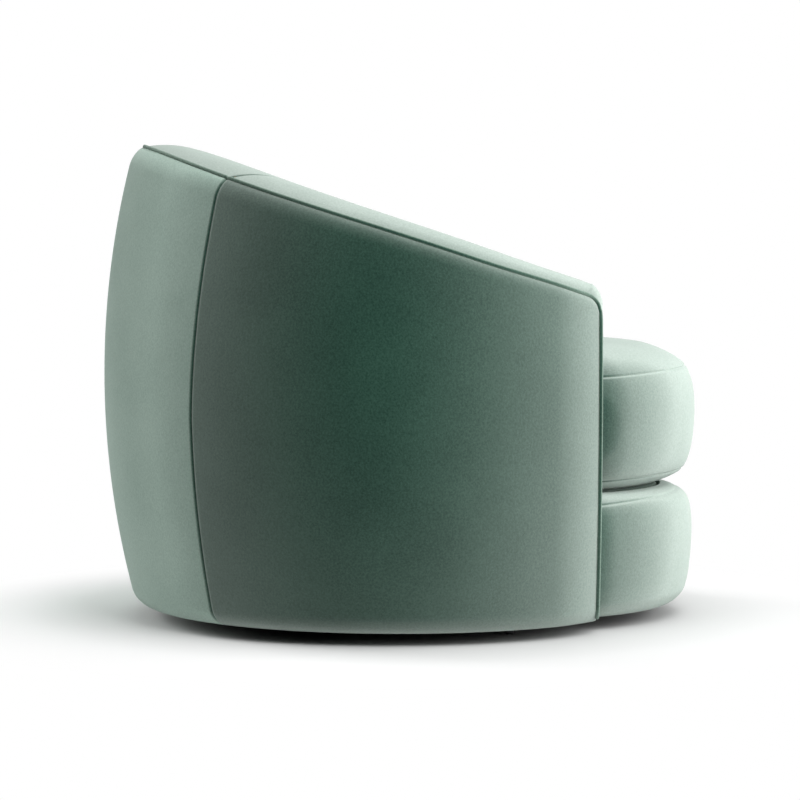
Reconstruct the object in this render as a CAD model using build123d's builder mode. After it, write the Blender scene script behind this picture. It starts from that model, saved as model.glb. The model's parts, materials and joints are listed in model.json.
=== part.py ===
from build123d import *
import os
from math import asin, atan2, cos, degrees, radians, sin, sqrt, tan

os.makedirs("parts", exist_ok=True)

# Round upholstered swivel chair in millimetres. It faces -Y, stands on Z = 0 and turns about Z.
# Right and left are the sitter's own: right is -X.

# Padded shell
barrel_radius = 450.0
barrel_waist = 364.0
barrel_arc = 1304.0
shell_bottom = 17.0
bottom_roll = 34.0
crest_height = 600.0
crest_slope = 18.7
crest_roll = 50.0
piping_drop = 17.5
arm_reach = 284.0
arm_corner = 28.0
facing_thickness = 4.0
band_inner_roll = 14.0
panel_padding = 22.0
seam_angle = 48.0
piping_diameter = 6.0
top_cord_steps = 48
corner_cord_steps = 5
front_cord_steps = 8

# Seat well: a leaning cone between the arms and the back
seat_offset = 150.0
side_wall = 121.3
well_flare = 41.0
well_lean = 74.0
well_rise = 495.0
side_pad = 32.0
back_pad = 60.0
top_side_pad = 14.0
top_back_pad = 34.0

# Seat
deck_height = 205.0
deck_pad_thickness = 22.0
cushion_play = 3.0
cushion_height = 219.0
cushion_top_seam = 168.0
cushion_bottom_seam = 16.0
cushion_swell = 15.0
cushion_top_inset = 10.0
cushion_seam_inset = 20.0
cushion_edge_inset = 38.0
cushion_shoulder_bulge = 8.0
cushion_edge_bulge = 4.0
crown_reach = 215.0
crown_drop = 12.0
cushion_cover_thickness = 4.0
rail_inset = 4.0
rail_top_gap = 2.0
rail_padding = 52.0
rail_bulge = 11.0
rail_bottom_roll = 24.0
rail_top_roll = 18.0
rail_cover_thickness = 4.0
front_board_thickness = 18.0
spring_count = 5
spring_share = 0.34
spring_wire = 3.8
spring_width = 44.0
spring_pitch = 24.0
spring_bearing = 12.0
clip_length = 24.0
clip_width = 12.0
clip_wall = 1.5
opening_margin = 38.0

# Wooden frame
board_thickness = 18.0
rib_thickness = 18.0
rib_angles = (0.0, 36.0, 72.0)
post_inner_edge = 235.0
mounting_board_radius = 215.0
mounting_board_thickness = 22.0
board_screw_count = 6
board_screw_circle = 182.0
board_screw_diameter = 5.0
board_screw_head = 10.0
board_screw_bite = 13.0
strap_width = 50.0
strap_thickness = 2.0
strap_angles = (-54.0, -18.0, 18.0, 54.0)
dust_cover_thickness = 1.5

# Swivel base
base_turn = 32.0
foot_radius = 302.0
glide_height = 8.0
glide_diameter = 15.0
glide_roll = 3.0
glide_stem = 8.0
glide_stem_height = 6.0
tube_width = 30.0
tube_height = 20.0
tube_wall = 2.0
tube_end_margin = 12.0
cap_thickness = 3.0
cap_plug = 14.0
hub_plate_radius = 110.0
hub_plate_thickness = 4.0
race_plate_radius = 130.0
race_plate_thickness = 6.0
race_circle = 100.0
race_depth = 2.5
ball_diameter = 12.0
ball_count = 20
cage_thickness = 3.0
cage_width = 22.0
pin_diameter = 20.0
pin_head_diameter = 30.0
pin_head_height = 5.0
bush_wall = 4.0
bush_flange = 4.0
bush_flange_thickness = 2.0
washer_diameter = 37.0
washer_thickness = 3.0
nut_width = 30.0
nut_height = 12.0
plate_bolt_circle = 62.0
plate_bolt_diameter = 8.0
plate_bolt_head = 15.0
tee_nut_diameter = 22.0
tee_nut_flange = 2.0
tee_nut_barrel = 11.0
tee_nut_depth = 9.0
lower_screw_bite = 3.0

# Clearances
cover_gap = 0.3
cord_gap = 0.9
fit_gap = 0.1
running_gap = 0.05
ball_gap = 0.1
sweep_gap = 12.0
well_clearance = 20.0

# Heights worked out from the floor up
tube_top = glide_height + tube_height
hub_top = tube_top + hub_plate_thickness
lower_race_top = hub_top + race_plate_thickness
race_groove = ball_diameter / 2 + ball_gap
ball_height = lower_race_top - race_depth + race_groove
upper_race_bottom = ball_height + race_groove - race_depth
board_top = upper_race_bottom + race_plate_thickness
board_bottom = board_top - board_thickness
mounting_top = board_top + mounting_board_thickness
deck_bottom = deck_height - deck_pad_thickness
seat_board_top = deck_bottom - spring_wire - 2 * cover_gap
seat_board_bottom = seat_board_top - board_thickness

# Plan sizes worked out from the driving ones
slope = tan(radians(crest_slope))
shell_top = crest_height + slope * barrel_radius + crest_roll
far = 2 * barrel_radius
well_radius = sqrt(barrel_radius**2 - seat_offset**2) - side_wall
cushion_radius = well_radius - cushion_play
rail_radius = cushion_radius - rail_inset
rail_inner = rail_radius - rail_padding
opening_radius = rail_inner - opening_margin
spring_spacing = spring_share * opening_radius
tube_end = foot_radius + tube_end_margin
sweep_radius = tube_end + cap_thickness
lip_radius = sweep_radius + sweep_gap
swivel_opening = race_plate_radius + well_clearance
rail_drop = piping_drop + cover_gap
seat_axis = Axis((0, -seat_offset, 0), (0, 0, 1))
arm_stop = arm_reach - cover_gap


def wall_radius(height, inset):
    """Radius of the shell's upright curve at a height, moved inwards by an inset."""
    return barrel_radius - barrel_arc + sqrt((barrel_arc - inset) ** 2 - (height - barrel_waist) ** 2)


def well_centre(height, side, back, top_side, top_back):
    """Seat well at a height: how far its centre lies ahead of the swivel axis, and its radius."""
    share = (height - deck_height) / well_rise
    side_now = side + share * (top_side - side)
    back_now = back + share * (top_back - back)
    ahead = seat_offset - share * well_lean - (back_now - side_now)
    return ahead, well_radius + share * well_flare + side_now


def well_solid(bottom, side=0.0, back=0.0, top_side=0.0, top_back=0.0):
    """The seat well as a closed leaning cone, widened by the pads that line it."""
    with BuildPart() as well:
        for height in (bottom, shell_top):
            ahead, radius = well_centre(height, side, back, top_side, top_back)
            with BuildSketch(Plane.XY.offset(height)):
                with Locations((0, -ahead)):
                    Circle(radius)
        loft()
    return well.part


def barrel_solid(bottom, inset):
    """The shell's round upright form, full inside, from a height up."""
    with BuildPart() as barrel:
        with BuildSketch(Plane.XZ):
            with BuildLine():
                low = (wall_radius(bottom, inset), bottom)
                high = (wall_radius(shell_top, inset), shell_top)
                Line((0, bottom), low)
                ThreePointArc(low, (barrel_radius - inset, barrel_waist), high)
                Polyline(high, (0, shell_top), (0, bottom))
            make_face()
        revolve(axis=Axis.Z)
    return barrel.part


def side_block(reach, drop, corner):
    """All that lies behind the arm fronts and below a plane under the sloping crest."""
    def line_height(along):
        return crest_height - drop + slope * along

    with BuildPart() as block:
        with BuildSketch(Plane.YZ):
            with BuildLine():
                Polyline(
                    (-reach, -far),
                    (-reach, line_height(-reach)),
                    (far, line_height(far)),
                    (far, -far),
                    close=True,
                )
            make_face()
            if corner > 0:
                fillet(vertices().group_by(Axis.X)[0].sort_by(Axis.Y)[-1], corner)
        extrude(amount=far, both=True)
    return block.part


def front_block(start):
    """All that lies ahead of a distance in front of the swivel axis."""
    with BuildPart() as block:
        with BuildSketch(Plane.XY.offset(-far)):
            with Locations((0, -start)):
                Rectangle(2 * far, far, align=(Align.CENTER, Align.MAX))
        extrude(amount=2 * far)
    return block.part


def mirrored(piece):
    """The same piece for the sitter's left side."""
    return mirror(piece, about=Plane.YZ)


seam_side = far * sin(radians(seam_angle))
seam_back = far * cos(radians(seam_angle))
right_seam_plane = Plane(
    origin=(0, 0, 0),
    x_dir=(-seam_side / far, seam_back / far, 0),
    z_dir=(seam_back / far, seam_side / far, 0),
)
with BuildPart() as rear_sector:
    with BuildSketch(Plane.XY.offset(-far)):
        with BuildLine():
            Polyline((0, 0), (seam_side, seam_back), (0, far), (-seam_side, seam_back), close=True)
        make_face()
    extrude(amount=2 * far)

crest_plane = Plane(
    origin=(0, 0, crest_height),
    x_dir=(1, 0, 0),
    z_dir=(0, -sin(radians(crest_slope)), cos(radians(crest_slope))),
)

# Outer form of the shell, with its rolled top and bottom edges
with BuildPart() as shell_form:
    add(barrel_solid(shell_bottom, 0.0))
    split(bisect_by=crest_plane, keep=Keep.BOTTOM)
    fillet(faces().sort_by(Axis.Z)[-1].edges(), crest_roll)
    fillet(faces().sort_by(Axis.Z)[0].edges(), bottom_roll)

panel_back = barrel_solid(board_bottom, panel_padding)
frame_outside = barrel_solid(board_bottom, panel_padding + cover_gap)
well_inside = well_solid(-shell_bottom)
pad_back = well_solid(0.0, side_pad, back_pad, top_side_pad, top_back_pad)
frame_inside = well_solid(
    0.0,
    side_pad + cover_gap,
    back_pad + cover_gap,
    top_side_pad + cover_gap,
    top_back_pad + cover_gap,
)
panel_block = side_block(arm_stop, rail_drop, arm_corner)
cover_block = side_block(arm_reach, piping_drop, arm_corner)
crest_block = side_block(arm_reach + facing_thickness, 0.0, arm_corner + piping_drop)
post_block = side_block(arm_stop, rail_drop + board_thickness, 0.0)

# Outer panels: padded covers with a lip that turns in under the bottom board
with BuildPart() as outer_wall:
    add(shell_form.part)
    add(panel_block, mode=Mode.INTERSECT)
    add(panel_back, mode=Mode.SUBTRACT)
    with BuildSketch(Plane.XY):
        Circle(lip_radius)
    extrude(amount=board_bottom, mode=Mode.SUBTRACT)

with BuildPart() as rear_outer_panel:
    add(rear_sector.part)
    add(outer_wall.part, mode=Mode.INTERSECT)
rear_outer_panel.part.label = "rear_outer_panel"
export_step(rear_outer_panel.part, "parts/rear_outer_panel.step")

with BuildPart() as right_outer_panel:
    add(outer_wall.part)
    split(bisect_by=Plane.YZ, keep=Keep.BOTTOM)
    split(bisect_by=right_seam_plane, keep=Keep.BOTTOM)
right_outer_panel.part.label = "right_outer_panel"
export_step(right_outer_panel.part, "parts/right_outer_panel.step")

with BuildPart() as left_outer_panel:
    add(mirrored(right_outer_panel.part))
left_outer_panel.part.label = "left_outer_panel"
export_step(left_outer_panel.part, "parts/left_outer_panel.step")

# Top band: a domed cover over the shell's edge that turns down over the arm fronts
with BuildPart() as well_rim:
    with BuildSketch(Plane.XY.offset(-far)):
        Circle(far)
    extrude(amount=far + crest_height + slope * far)
    split(bisect_by=crest_plane, keep=Keep.BOTTOM)
    add(well_inside, mode=Mode.SUBTRACT)
    rim_face = faces().sort_by(Axis.Z)[-1]
    fillet(rim_face.inner_wires()[0].edges(), band_inner_roll)

with BuildPart() as band_layer:
    add(crest_block)
    add(cover_block, mode=Mode.SUBTRACT)

with BuildPart() as band_wall:
    add(band_layer.part)
    add(well_rim.part, mode=Mode.INTERSECT)
    add(shell_form.part, mode=Mode.INTERSECT)

with BuildPart() as back_top_band:
    add(rear_sector.part)
    add(band_wall.part, mode=Mode.INTERSECT)
back_top_band.part.label = "back_top_band"
export_step(back_top_band.part, "parts/back_top_band.step")

with BuildPart() as right_arm_band:
    add(band_wall.part)
    split(bisect_by=Plane.YZ, keep=Keep.BOTTOM)
    split(bisect_by=right_seam_plane, keep=Keep.BOTTOM)
right_arm_band.part.label = "right_arm_band"
export_step(right_arm_band.part, "parts/right_arm_band.step")

with BuildPart() as left_arm_band:
    add(mirrored(right_arm_band.part))
left_arm_band.part.label = "left_arm_band"
export_step(left_arm_band.part, "parts/left_arm_band.step")

# Inner pads that line the seat well
with BuildPart() as inner_wall:
    add(pad_back)
    add(panel_block, mode=Mode.INTERSECT)
    add(well_inside, mode=Mode.SUBTRACT)
    split(bisect_by=Plane.XY.offset(seat_board_top), keep=Keep.TOP)

with BuildPart() as inner_back_pad:
    add(rear_sector.part)
    add(inner_wall.part, mode=Mode.INTERSECT)
inner_back_pad.part.label = "inner_back_pad"
export_step(inner_back_pad.part, "parts/inner_back_pad.step")

with BuildPart() as right_inner_arm_pad:
    add(inner_wall.part)
    split(bisect_by=Plane.YZ, keep=Keep.BOTTOM)
    split(bisect_by=right_seam_plane, keep=Keep.BOTTOM)
right_inner_arm_pad.part.label = "right_inner_arm_pad"
export_step(right_inner_arm_pad.part, "parts/right_inner_arm_pad.step")

with BuildPart() as left_inner_arm_pad:
    add(mirrored(right_inner_arm_pad.part))
left_inner_arm_pad.part.label = "left_inner_arm_pad"
export_step(left_inner_arm_pad.part, "parts/left_inner_arm_pad.step")

# Top rail: sloping plywood hoop under the band
with BuildPart() as top_rail:
    add(frame_outside)
    add(panel_block, mode=Mode.INTERSECT)
    add(post_block, mode=Mode.SUBTRACT)
    add(frame_inside, mode=Mode.SUBTRACT)
top_rail.part.label = "top_rail"
export_step(top_rail.part, "parts/top_rail.step")

# Upright ribs in planes through the swivel axis
with BuildPart() as rib_wall:
    add(frame_outside)
    add(post_block, mode=Mode.INTERSECT)
    add(frame_inside, mode=Mode.SUBTRACT)
    split(bisect_by=Plane.XY.offset(board_top), keep=Keep.TOP)
    with BuildSketch(Plane.XY):
        Circle(mounting_board_radius + cover_gap)
    extrude(amount=mounting_top, mode=Mode.SUBTRACT)


def rib_solid(angle, thickness):
    """One upright board cut from the frame's wall, at an angle from straight behind to the right."""
    plane = Plane(origin=(0, 0, 0), x_dir=(-sin(radians(angle)), cos(radians(angle)), 0), z_dir=(0, 0, 1))
    with BuildPart() as rib:
        with BuildSketch(plane):
            Rectangle(far, thickness, align=(Align.MIN, Align.CENTER))
        extrude(amount=far)
        add(rib_wall.part, mode=Mode.INTERSECT)
    return rib.part


with BuildPart() as rear_centre_rib:
    add(rib_solid(rib_angles[0], rib_thickness))
rear_centre_rib.part.label = "rear_centre_rib"
export_step(rear_centre_rib.part, "parts/rear_centre_rib.step")

with BuildPart() as right_rear_rib:
    add(rib_solid(rib_angles[1], rib_thickness))
right_rear_rib.part.label = "right_rear_rib"
export_step(right_rear_rib.part, "parts/right_rear_rib.step")

with BuildPart() as left_rear_rib:
    add(mirrored(right_rear_rib.part))
left_rear_rib.part.label = "left_rear_rib"
export_step(left_rear_rib.part, "parts/left_rear_rib.step")

with BuildPart() as right_side_rib:
    add(rib_solid(rib_angles[2], rib_thickness))
right_side_rib.part.label = "right_side_rib"
export_step(right_side_rib.part, "parts/right_side_rib.step")

with BuildPart() as left_side_rib:
    add(mirrored(right_side_rib.part))
left_side_rib.part.label = "left_side_rib"
export_step(left_side_rib.part, "parts/left_side_rib.step")

# Front posts: boards that face forwards, wide under the seat and slim beside the well
post_back = arm_stop - board_thickness
seat_well_above = well_solid(
    seat_board_bottom,
    side_pad + cover_gap,
    back_pad + cover_gap,
    top_side_pad + cover_gap,
    top_back_pad + cover_gap,
)
with BuildPart() as right_front_post:
    add(frame_outside)
    add(post_block, mode=Mode.INTERSECT)
    split(bisect_by=Plane.XZ.offset(post_back), keep=Keep.TOP)
    split(bisect_by=Plane.YZ.offset(-post_inner_edge), keep=Keep.BOTTOM)
    split(bisect_by=Plane.XY.offset(board_top), keep=Keep.TOP)
    add(seat_well_above, mode=Mode.SUBTRACT)
right_front_post.part.label = "right_front_post"
export_step(right_front_post.part, "parts/right_front_post.step")

with BuildPart() as left_front_post:
    add(mirrored(right_front_post.part))
left_front_post.part.label = "left_front_post"
export_step(left_front_post.part, "parts/left_front_post.step")


def frame_board(bottom, reach):
    """A plywood board over the whole frame: round behind, with a round tongue under the front rail."""
    with BuildPart() as board:
        add(frame_outside)
        add(front_block(reach), mode=Mode.SUBTRACT)
        split(bisect_by=Plane.XY.offset(bottom), keep=Keep.TOP)
        split(bisect_by=Plane.XY.offset(bottom + board_thickness), keep=Keep.BOTTOM)
        with BuildSketch(Plane.XY.offset(bottom)):
            with Locations((0, -seat_offset)):
                Circle(rail_inner - cover_gap)
        extrude(amount=board_thickness)
    return board.part


with BuildPart() as bottom_board:
    add(frame_board(board_bottom, arm_stop))
    with BuildSketch(Plane.XY.offset(board_bottom)):
        Circle(swivel_opening)
    extrude(amount=board_thickness, mode=Mode.SUBTRACT)
    with PolarLocations(board_screw_circle, board_screw_count):
        Hole(board_screw_diameter / 2 + fit_gap)
bottom_board.part.label = "bottom_board"
export_step(bottom_board.part, "parts/bottom_board.step")

with BuildPart() as seat_board:
    add(frame_board(seat_board_bottom, post_back - cover_gap))
    with BuildSketch(Plane.XY.offset(seat_board_bottom)):
        with Locations((0, -seat_offset)):
            Circle(opening_radius)
    extrude(amount=board_thickness, mode=Mode.SUBTRACT)
    for angle in rib_angles:
        slot = rib_solid(angle, rib_thickness + 2 * cover_gap)
        add(slot, mode=Mode.SUBTRACT)
        add(mirrored(slot), mode=Mode.SUBTRACT)
seat_board.part.label = "seat_board"
export_step(seat_board.part, "parts/seat_board.step")

with BuildPart() as front_rail_board:
    with BuildSketch(Plane.XY.offset(board_top)):
        with Locations((0, -seat_offset)):
            Circle(rail_inner - cover_gap)
            Circle(rail_inner - cover_gap - front_board_thickness, mode=Mode.SUBTRACT)
    extrude(amount=seat_board_bottom - board_top)
    add(front_block(arm_stop), mode=Mode.INTERSECT)
front_rail_board.part.label = "front_rail_board"
export_step(front_rail_board.part, "parts/front_rail_board.step")

with BuildPart() as mounting_board:
    with BuildSketch(Plane.XY.offset(board_top)):
        Circle(mounting_board_radius)
        Circle(washer_diameter / 2 + well_clearance, mode=Mode.SUBTRACT)
        with PolarLocations(plate_bolt_circle, 4, start_angle=base_turn):
            Circle(tee_nut_barrel / 2 + fit_gap, mode=Mode.SUBTRACT)
    extrude(amount=mounting_board_thickness)
    with Locations((0, 0, mounting_top)):
        with PolarLocations(board_screw_circle, board_screw_count):
            CounterSinkHole(board_screw_diameter / 2 + fit_gap, board_screw_head / 2 + fit_gap)
mounting_board.part.label = "mounting_board"
export_step(mounting_board.part, "parts/mounting_board.step")


def countersunk_screw(diameter, head, head_height, length):
    """A flat-headed screw along -Z with its head's top at the origin."""
    with BuildPart() as screw:
        with BuildSketch(Plane.XZ):
            with BuildLine():
                Polyline(
                    (0, 0),
                    (head / 2, 0),
                    (diameter / 2, -head_height),
                    (diameter / 2, -length),
                    (0, -length),
                    close=True,
                )
            make_face()
        revolve(axis=Axis.Z)
    return screw.part


with BuildPart() as board_screws:
    with Locations((0, 0, mounting_top)):
        with PolarLocations(board_screw_circle, board_screw_count):
            add(countersunk_screw(board_screw_diameter, board_screw_head,
                                  board_screw_head / 2 - board_screw_diameter / 2,
                                  mounting_board_thickness + board_screw_bite))
board_screws.part.label = "board_screws"
export_step(board_screws.part, "parts/board_screws.step")

# Elastic straps behind the back pad
with BuildPart() as strap_layer:
    add(well_solid(
        0.0,
        side_pad + cover_gap + strap_thickness,
        back_pad + cover_gap + strap_thickness,
        top_side_pad + cover_gap + strap_thickness,
        top_back_pad + cover_gap + strap_thickness,
    ))
    add(frame_inside, mode=Mode.SUBTRACT)
    add(post_block, mode=Mode.INTERSECT)
    split(bisect_by=Plane.XY.offset(seat_board_top), keep=Keep.TOP)

with BuildPart() as back_webbing:
    for angle in strap_angles:
        turn = radians(angle)
        with BuildSketch(Plane(origin=(0, 0, 0), x_dir=(-sin(turn), cos(turn), 0), z_dir=(0, 0, 1))):
            Rectangle(far, strap_width, align=(Align.MIN, Align.CENTER))
    extrude(amount=far)
    add(strap_layer.part, mode=Mode.INTERSECT)
back_webbing.part.label = "back_webbing"
export_step(back_webbing.part, "parts/back_webbing.step")

# Seat springs: zigzag wires across the seat board's opening, each end held in a clip
spring_height = seat_board_top + cover_gap + spring_wire / 2


def spring_span(across):
    """Half the run of a spring, from the seat's middle to a clip on the seat board."""
    return sqrt(opening_radius**2 - (abs(across) + spring_width / 2) ** 2) + spring_bearing


def spring_points(across):
    """Corner points of one zigzag spring at a distance from the seat's middle line."""
    half = spring_span(across)
    rows = round(2 * half / spring_pitch)
    points = []
    for row in range(rows + 1):
        along = -seat_offset - half + 2 * half * row / rows
        first = spring_width / 2 if row % 2 else -spring_width / 2
        points.append((across + first, along))
        points.append((across - first, along))
    return points


spring_places = [spring_spacing * (index - (spring_count - 1) / 2) for index in range(spring_count)]
with BuildPart() as seat_springs:
    for across in spring_places:
        with BuildLine(Plane.XY.offset(spring_height)) as spring_path:
            FilletPolyline(*spring_points(across), radius=0.45 * spring_pitch)
        with BuildSketch(Plane(origin=spring_path.line @ 0, z_dir=spring_path.line % 0)):
            Circle(spring_wire / 2)
        sweep(path=spring_path.line)
seat_springs.part.label = "seat_springs"
export_step(seat_springs.part, "parts/seat_springs.step")

with BuildPart() as spring_clips:
    for across in spring_places:
        half = spring_span(across)
        for end in (-half, half):
            with BuildSketch(Plane.XY.offset(seat_board_top)):
                with Locations((across, -seat_offset + end)):
                    Rectangle(clip_length, clip_width)
            extrude(amount=spring_wire + 2 * cover_gap)
            with BuildSketch(Plane.XY.offset(seat_board_top)):
                with Locations((across, -seat_offset + end)):
                    Rectangle(clip_length, clip_width - 2 * clip_wall)
            extrude(amount=spring_wire + cover_gap, mode=Mode.SUBTRACT)
spring_clips.part.label = "spring_clips"
export_step(spring_clips.part, "parts/spring_clips.step")

deck_ahead, deck_radius = well_centre(deck_bottom, 0.0, 0.0, 0.0, 0.0)
with BuildPart() as deck_pad:
    with BuildSketch(Plane.XY.offset(deck_bottom)):
        with Locations((0, -deck_ahead)):
            Circle(deck_radius - cover_gap)
        with Locations((0, -arm_stop)):
            Rectangle(far, far, align=(Align.CENTER, Align.MAX), mode=Mode.SUBTRACT)
        with Locations((0, -seat_offset)):
            Circle(rail_inner - cover_gap)
    extrude(amount=deck_pad_thickness)
deck_pad.part.label = "deck_pad"
export_step(deck_pad.part, "parts/deck_pad.step")

# Front rail: a padded roll under the cushion, foam inside a cover
rail_top = deck_height - rail_top_gap


def rail_solid(inset, inner):
    """The front rail's rounded form about the seat's own upright axis."""
    outside = rail_radius - inset
    low = shell_bottom + inset
    high = rail_top - inset
    with BuildPart() as rail:
        with BuildSketch(Plane.XZ.offset(seat_offset)):
            with BuildLine():
                ThreePointArc(
                    (outside - rail_bulge, low),
                    (outside, (low + high) / 2 + rail_bulge),
                    (outside - rail_bulge, high),
                )
                Polyline(
                    (outside - rail_bulge, high),
                    (inner, high),
                    (inner, low),
                    (outside - rail_bulge, low),
                )
            make_face()
            fillet(vertices().sort_by_distance((outside - rail_bulge, low))[0], rail_bottom_roll - inset)
            fillet(vertices().sort_by_distance((outside - rail_bulge, high))[0], rail_top_roll - inset)
        revolve(axis=seat_axis)
        add(front_block(arm_reach), mode=Mode.INTERSECT)
    return rail.part


with BuildPart() as front_rail_foam:
    add(rail_solid(rail_cover_thickness + cover_gap, rail_inner))
front_rail_foam.part.label = "front_rail_foam"
export_step(front_rail_foam.part, "parts/front_rail_foam.step")

with BuildPart() as front_rail_cover:
    add(rail_solid(0.0, rail_inner))
    add(rail_solid(rail_cover_thickness, opening_radius), mode=Mode.SUBTRACT)
front_rail_cover.part.label = "front_rail_cover"
export_step(front_rail_cover.part, "parts/front_rail_cover.step")


def cushion_solid(inset):
    """The round seat cushion's crowned form, drawn in at its two seams."""
    outside = cushion_radius - inset
    low = deck_height + inset
    high = deck_height + cushion_height - inset
    edge = (outside - cushion_edge_inset, low)
    bottom_seam = (outside - cushion_seam_inset, deck_height + cushion_bottom_seam)
    top_seam = (outside - cushion_top_inset, deck_height + cushion_top_seam)
    shoulder = (crown_reach, high - crown_drop)
    crown_radius = (crown_reach**2 + crown_drop**2) / (2 * crown_drop)
    crown_turn = degrees(asin(crown_reach / crown_radius))
    with BuildPart() as cushion:
        with BuildSketch(Plane.XZ.offset(seat_offset)):
            with BuildLine():
                Line((0, low), edge)
                SagittaArc(edge, bottom_seam, -cushion_edge_bulge)
                middle = (bottom_seam[1] + top_seam[1]) / 2 + cushion_swell
                ThreePointArc(bottom_seam, (outside, middle), top_seam)
                SagittaArc(top_seam, shoulder, -cushion_shoulder_bulge)
                CenterArc((0, high - crown_radius), crown_radius, 90 - crown_turn, crown_turn)
                Line((0, high), (0, low))
            make_face()
        revolve(axis=seat_axis)
    return cushion.part


with BuildPart() as seat_cushion_core:
    add(cushion_solid(cushion_cover_thickness + cover_gap))
seat_cushion_core.part.label = "seat_cushion_core"
export_step(seat_cushion_core.part, "parts/seat_cushion_core.step")

with BuildPart() as seat_cushion_cover:
    add(cushion_solid(0.0))
    add(cushion_solid(cushion_cover_thickness), mode=Mode.SUBTRACT)
seat_cushion_cover.part.label = "seat_cushion_cover"
export_step(seat_cushion_cover.part, "parts/seat_cushion_cover.step")

with BuildPart() as dust_cover:
    with BuildSketch(Plane.XY.offset(board_bottom - dust_cover_thickness)):
        with Locations((0, -seat_offset)):
            Circle(rail_inner - cover_gap)
        with Locations((0, -arm_reach)):
            Rectangle(far, far, align=(Align.CENTER, Align.MIN), mode=Mode.SUBTRACT)
        Circle(lip_radius - cover_gap)
        Circle(swivel_opening, mode=Mode.SUBTRACT)
    extrude(amount=dust_cover_thickness)
dust_cover.part.label = "dust_cover"
export_step(dust_cover.part, "parts/dust_cover.step")

# Piping: a cord round the outer edge of the band and down the arm fronts
cord_stand_off = piping_diameter / 2 + cord_gap
shell_skin = shell_form.part.shells()[0]


def edge_point(origin, direction):
    """The farthest point where a line leaves the shell's outer form, with the outward normal there."""
    hits = shell_skin.find_intersection_points(Axis(origin, direction))
    point, normal = max(hits, key=lambda hit: (hit[0] - Vector(origin)).dot(Vector(direction)))
    if normal.dot(Vector(direction)) < 0:
        normal = normal * -1
    return point, normal


def top_cord_point(angle):
    """Middle of the cord on the piping plane, at an angle from straight behind."""
    turn = radians(angle)
    direction = Vector(sin(turn), cos(turn), slope * cos(turn)).normalized()
    point, normal = edge_point((0, 0, crest_height - piping_drop), direction)
    return point + normal * cord_stand_off


def side_cord_point(ahead, height, side):
    """Middle of the cord on an arm's side, at a distance ahead of the swivel axis and a height."""
    point, normal = edge_point((0, -ahead, height), (side, 0, 0))
    return point + normal * cord_stand_off


corner_ahead = arm_reach - arm_corner
corner_line = crest_height - piping_drop - slope * corner_ahead
corner_height = corner_line - arm_corner / cos(radians(crest_slope))


def corner_cord_point(share, side):
    """Middle of the cord on an arm's rounded corner, from its front up to the sloping edge."""
    turn = radians(90 - crest_slope) * share
    ahead = corner_ahead + arm_corner * cos(turn)
    return side_cord_point(ahead, corner_height + arm_corner * sin(turn), side)


cord_low = shell_bottom + bottom_roll
front_heights = [
    cord_low + (corner_height - cord_low) * step / front_cord_steps for step in range(front_cord_steps)
]
right_points = [side_cord_point(arm_reach, height, -1) for height in front_heights]
right_points += [corner_cord_point(step / corner_cord_steps, -1) for step in range(corner_cord_steps + 1)]
left_points = [side_cord_point(arm_reach, height, 1) for height in front_heights]
left_points += [corner_cord_point(step / corner_cord_steps, 1) for step in range(corner_cord_steps + 1)]
last_angle = degrees(atan2(left_points[-1].X, left_points[-1].Y))
top_points = [
    top_cord_point(last_angle * (2 * step / top_cord_steps - 1)) for step in range(1, top_cord_steps)
]
cord_points = right_points + top_points + left_points[::-1]


def bend_radius(before, corner, after):
    """Largest arc that two runs of the cord leave room for."""
    turn = radians((corner - before).get_angle(after - corner))
    return 0.45 * min((corner - before).length, (after - corner).length) / tan(turn / 2)


with BuildPart() as outer_piping:
    with BuildLine() as cord_path:
        FilletPolyline(*cord_points, radius=[bend_radius(*cord_points[index:index + 3])
                                             for index in range(len(cord_points) - 2)])
    with BuildSketch(Plane(origin=cord_path.line @ 0, z_dir=cord_path.line % 0)):
        Circle(piping_diameter / 2)
    sweep(path=cord_path.line)
outer_piping.part.label = "outer_piping"
export_step(outer_piping.part, "parts/outer_piping.step")

# Swivel base: crossed tubes on four glides
def tube_solid(start, turn):
    """One length of box tube that lies along a direction from the swivel axis, open at its ends."""
    plane = Plane.XY.rotated((0, 0, base_turn + turn))
    with BuildPart() as tube:
        with BuildSketch(plane.offset(glide_height)):
            with Locations(((start + tube_end) / 2, 0)):
                Rectangle(tube_end - start, tube_width)
        extrude(amount=tube_height)
        with BuildSketch(plane.offset(glide_height + tube_wall)):
            with Locations(((start + tube_end) / 2, 0)):
                Rectangle(tube_end - start, tube_width - 2 * tube_wall)
        extrude(amount=tube_height - 2 * tube_wall, mode=Mode.SUBTRACT)
        with BuildSketch(plane):
            with Locations((foot_radius, 0)):
                Circle(glide_stem / 2 + fit_gap)
        extrude(amount=glide_height + tube_wall, mode=Mode.SUBTRACT)
        if start < 0:
            with BuildSketch(plane):
                with Locations((-foot_radius, 0)):
                    Circle(glide_stem / 2 + fit_gap)
            extrude(amount=glide_height + tube_wall, mode=Mode.SUBTRACT)
            with BuildSketch(Plane.XY):
                Circle(pin_diameter / 2 + fit_gap)
            extrude(amount=tube_top, mode=Mode.SUBTRACT)
    return tube.part


with BuildPart() as base_long_tube:
    add(tube_solid(-tube_end, 180))
base_long_tube.part.label = "base_long_tube"
export_step(base_long_tube.part, "parts/base_long_tube.step")

with BuildPart() as base_rear_tube:
    add(tube_solid(tube_width / 2, 90))
base_rear_tube.part.label = "base_rear_tube"
export_step(base_rear_tube.part, "parts/base_rear_tube.step")

with BuildPart() as base_front_tube:
    add(tube_solid(tube_width / 2, 270))
base_front_tube.part.label = "base_front_tube"
export_step(base_front_tube.part, "parts/base_front_tube.step")

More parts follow.
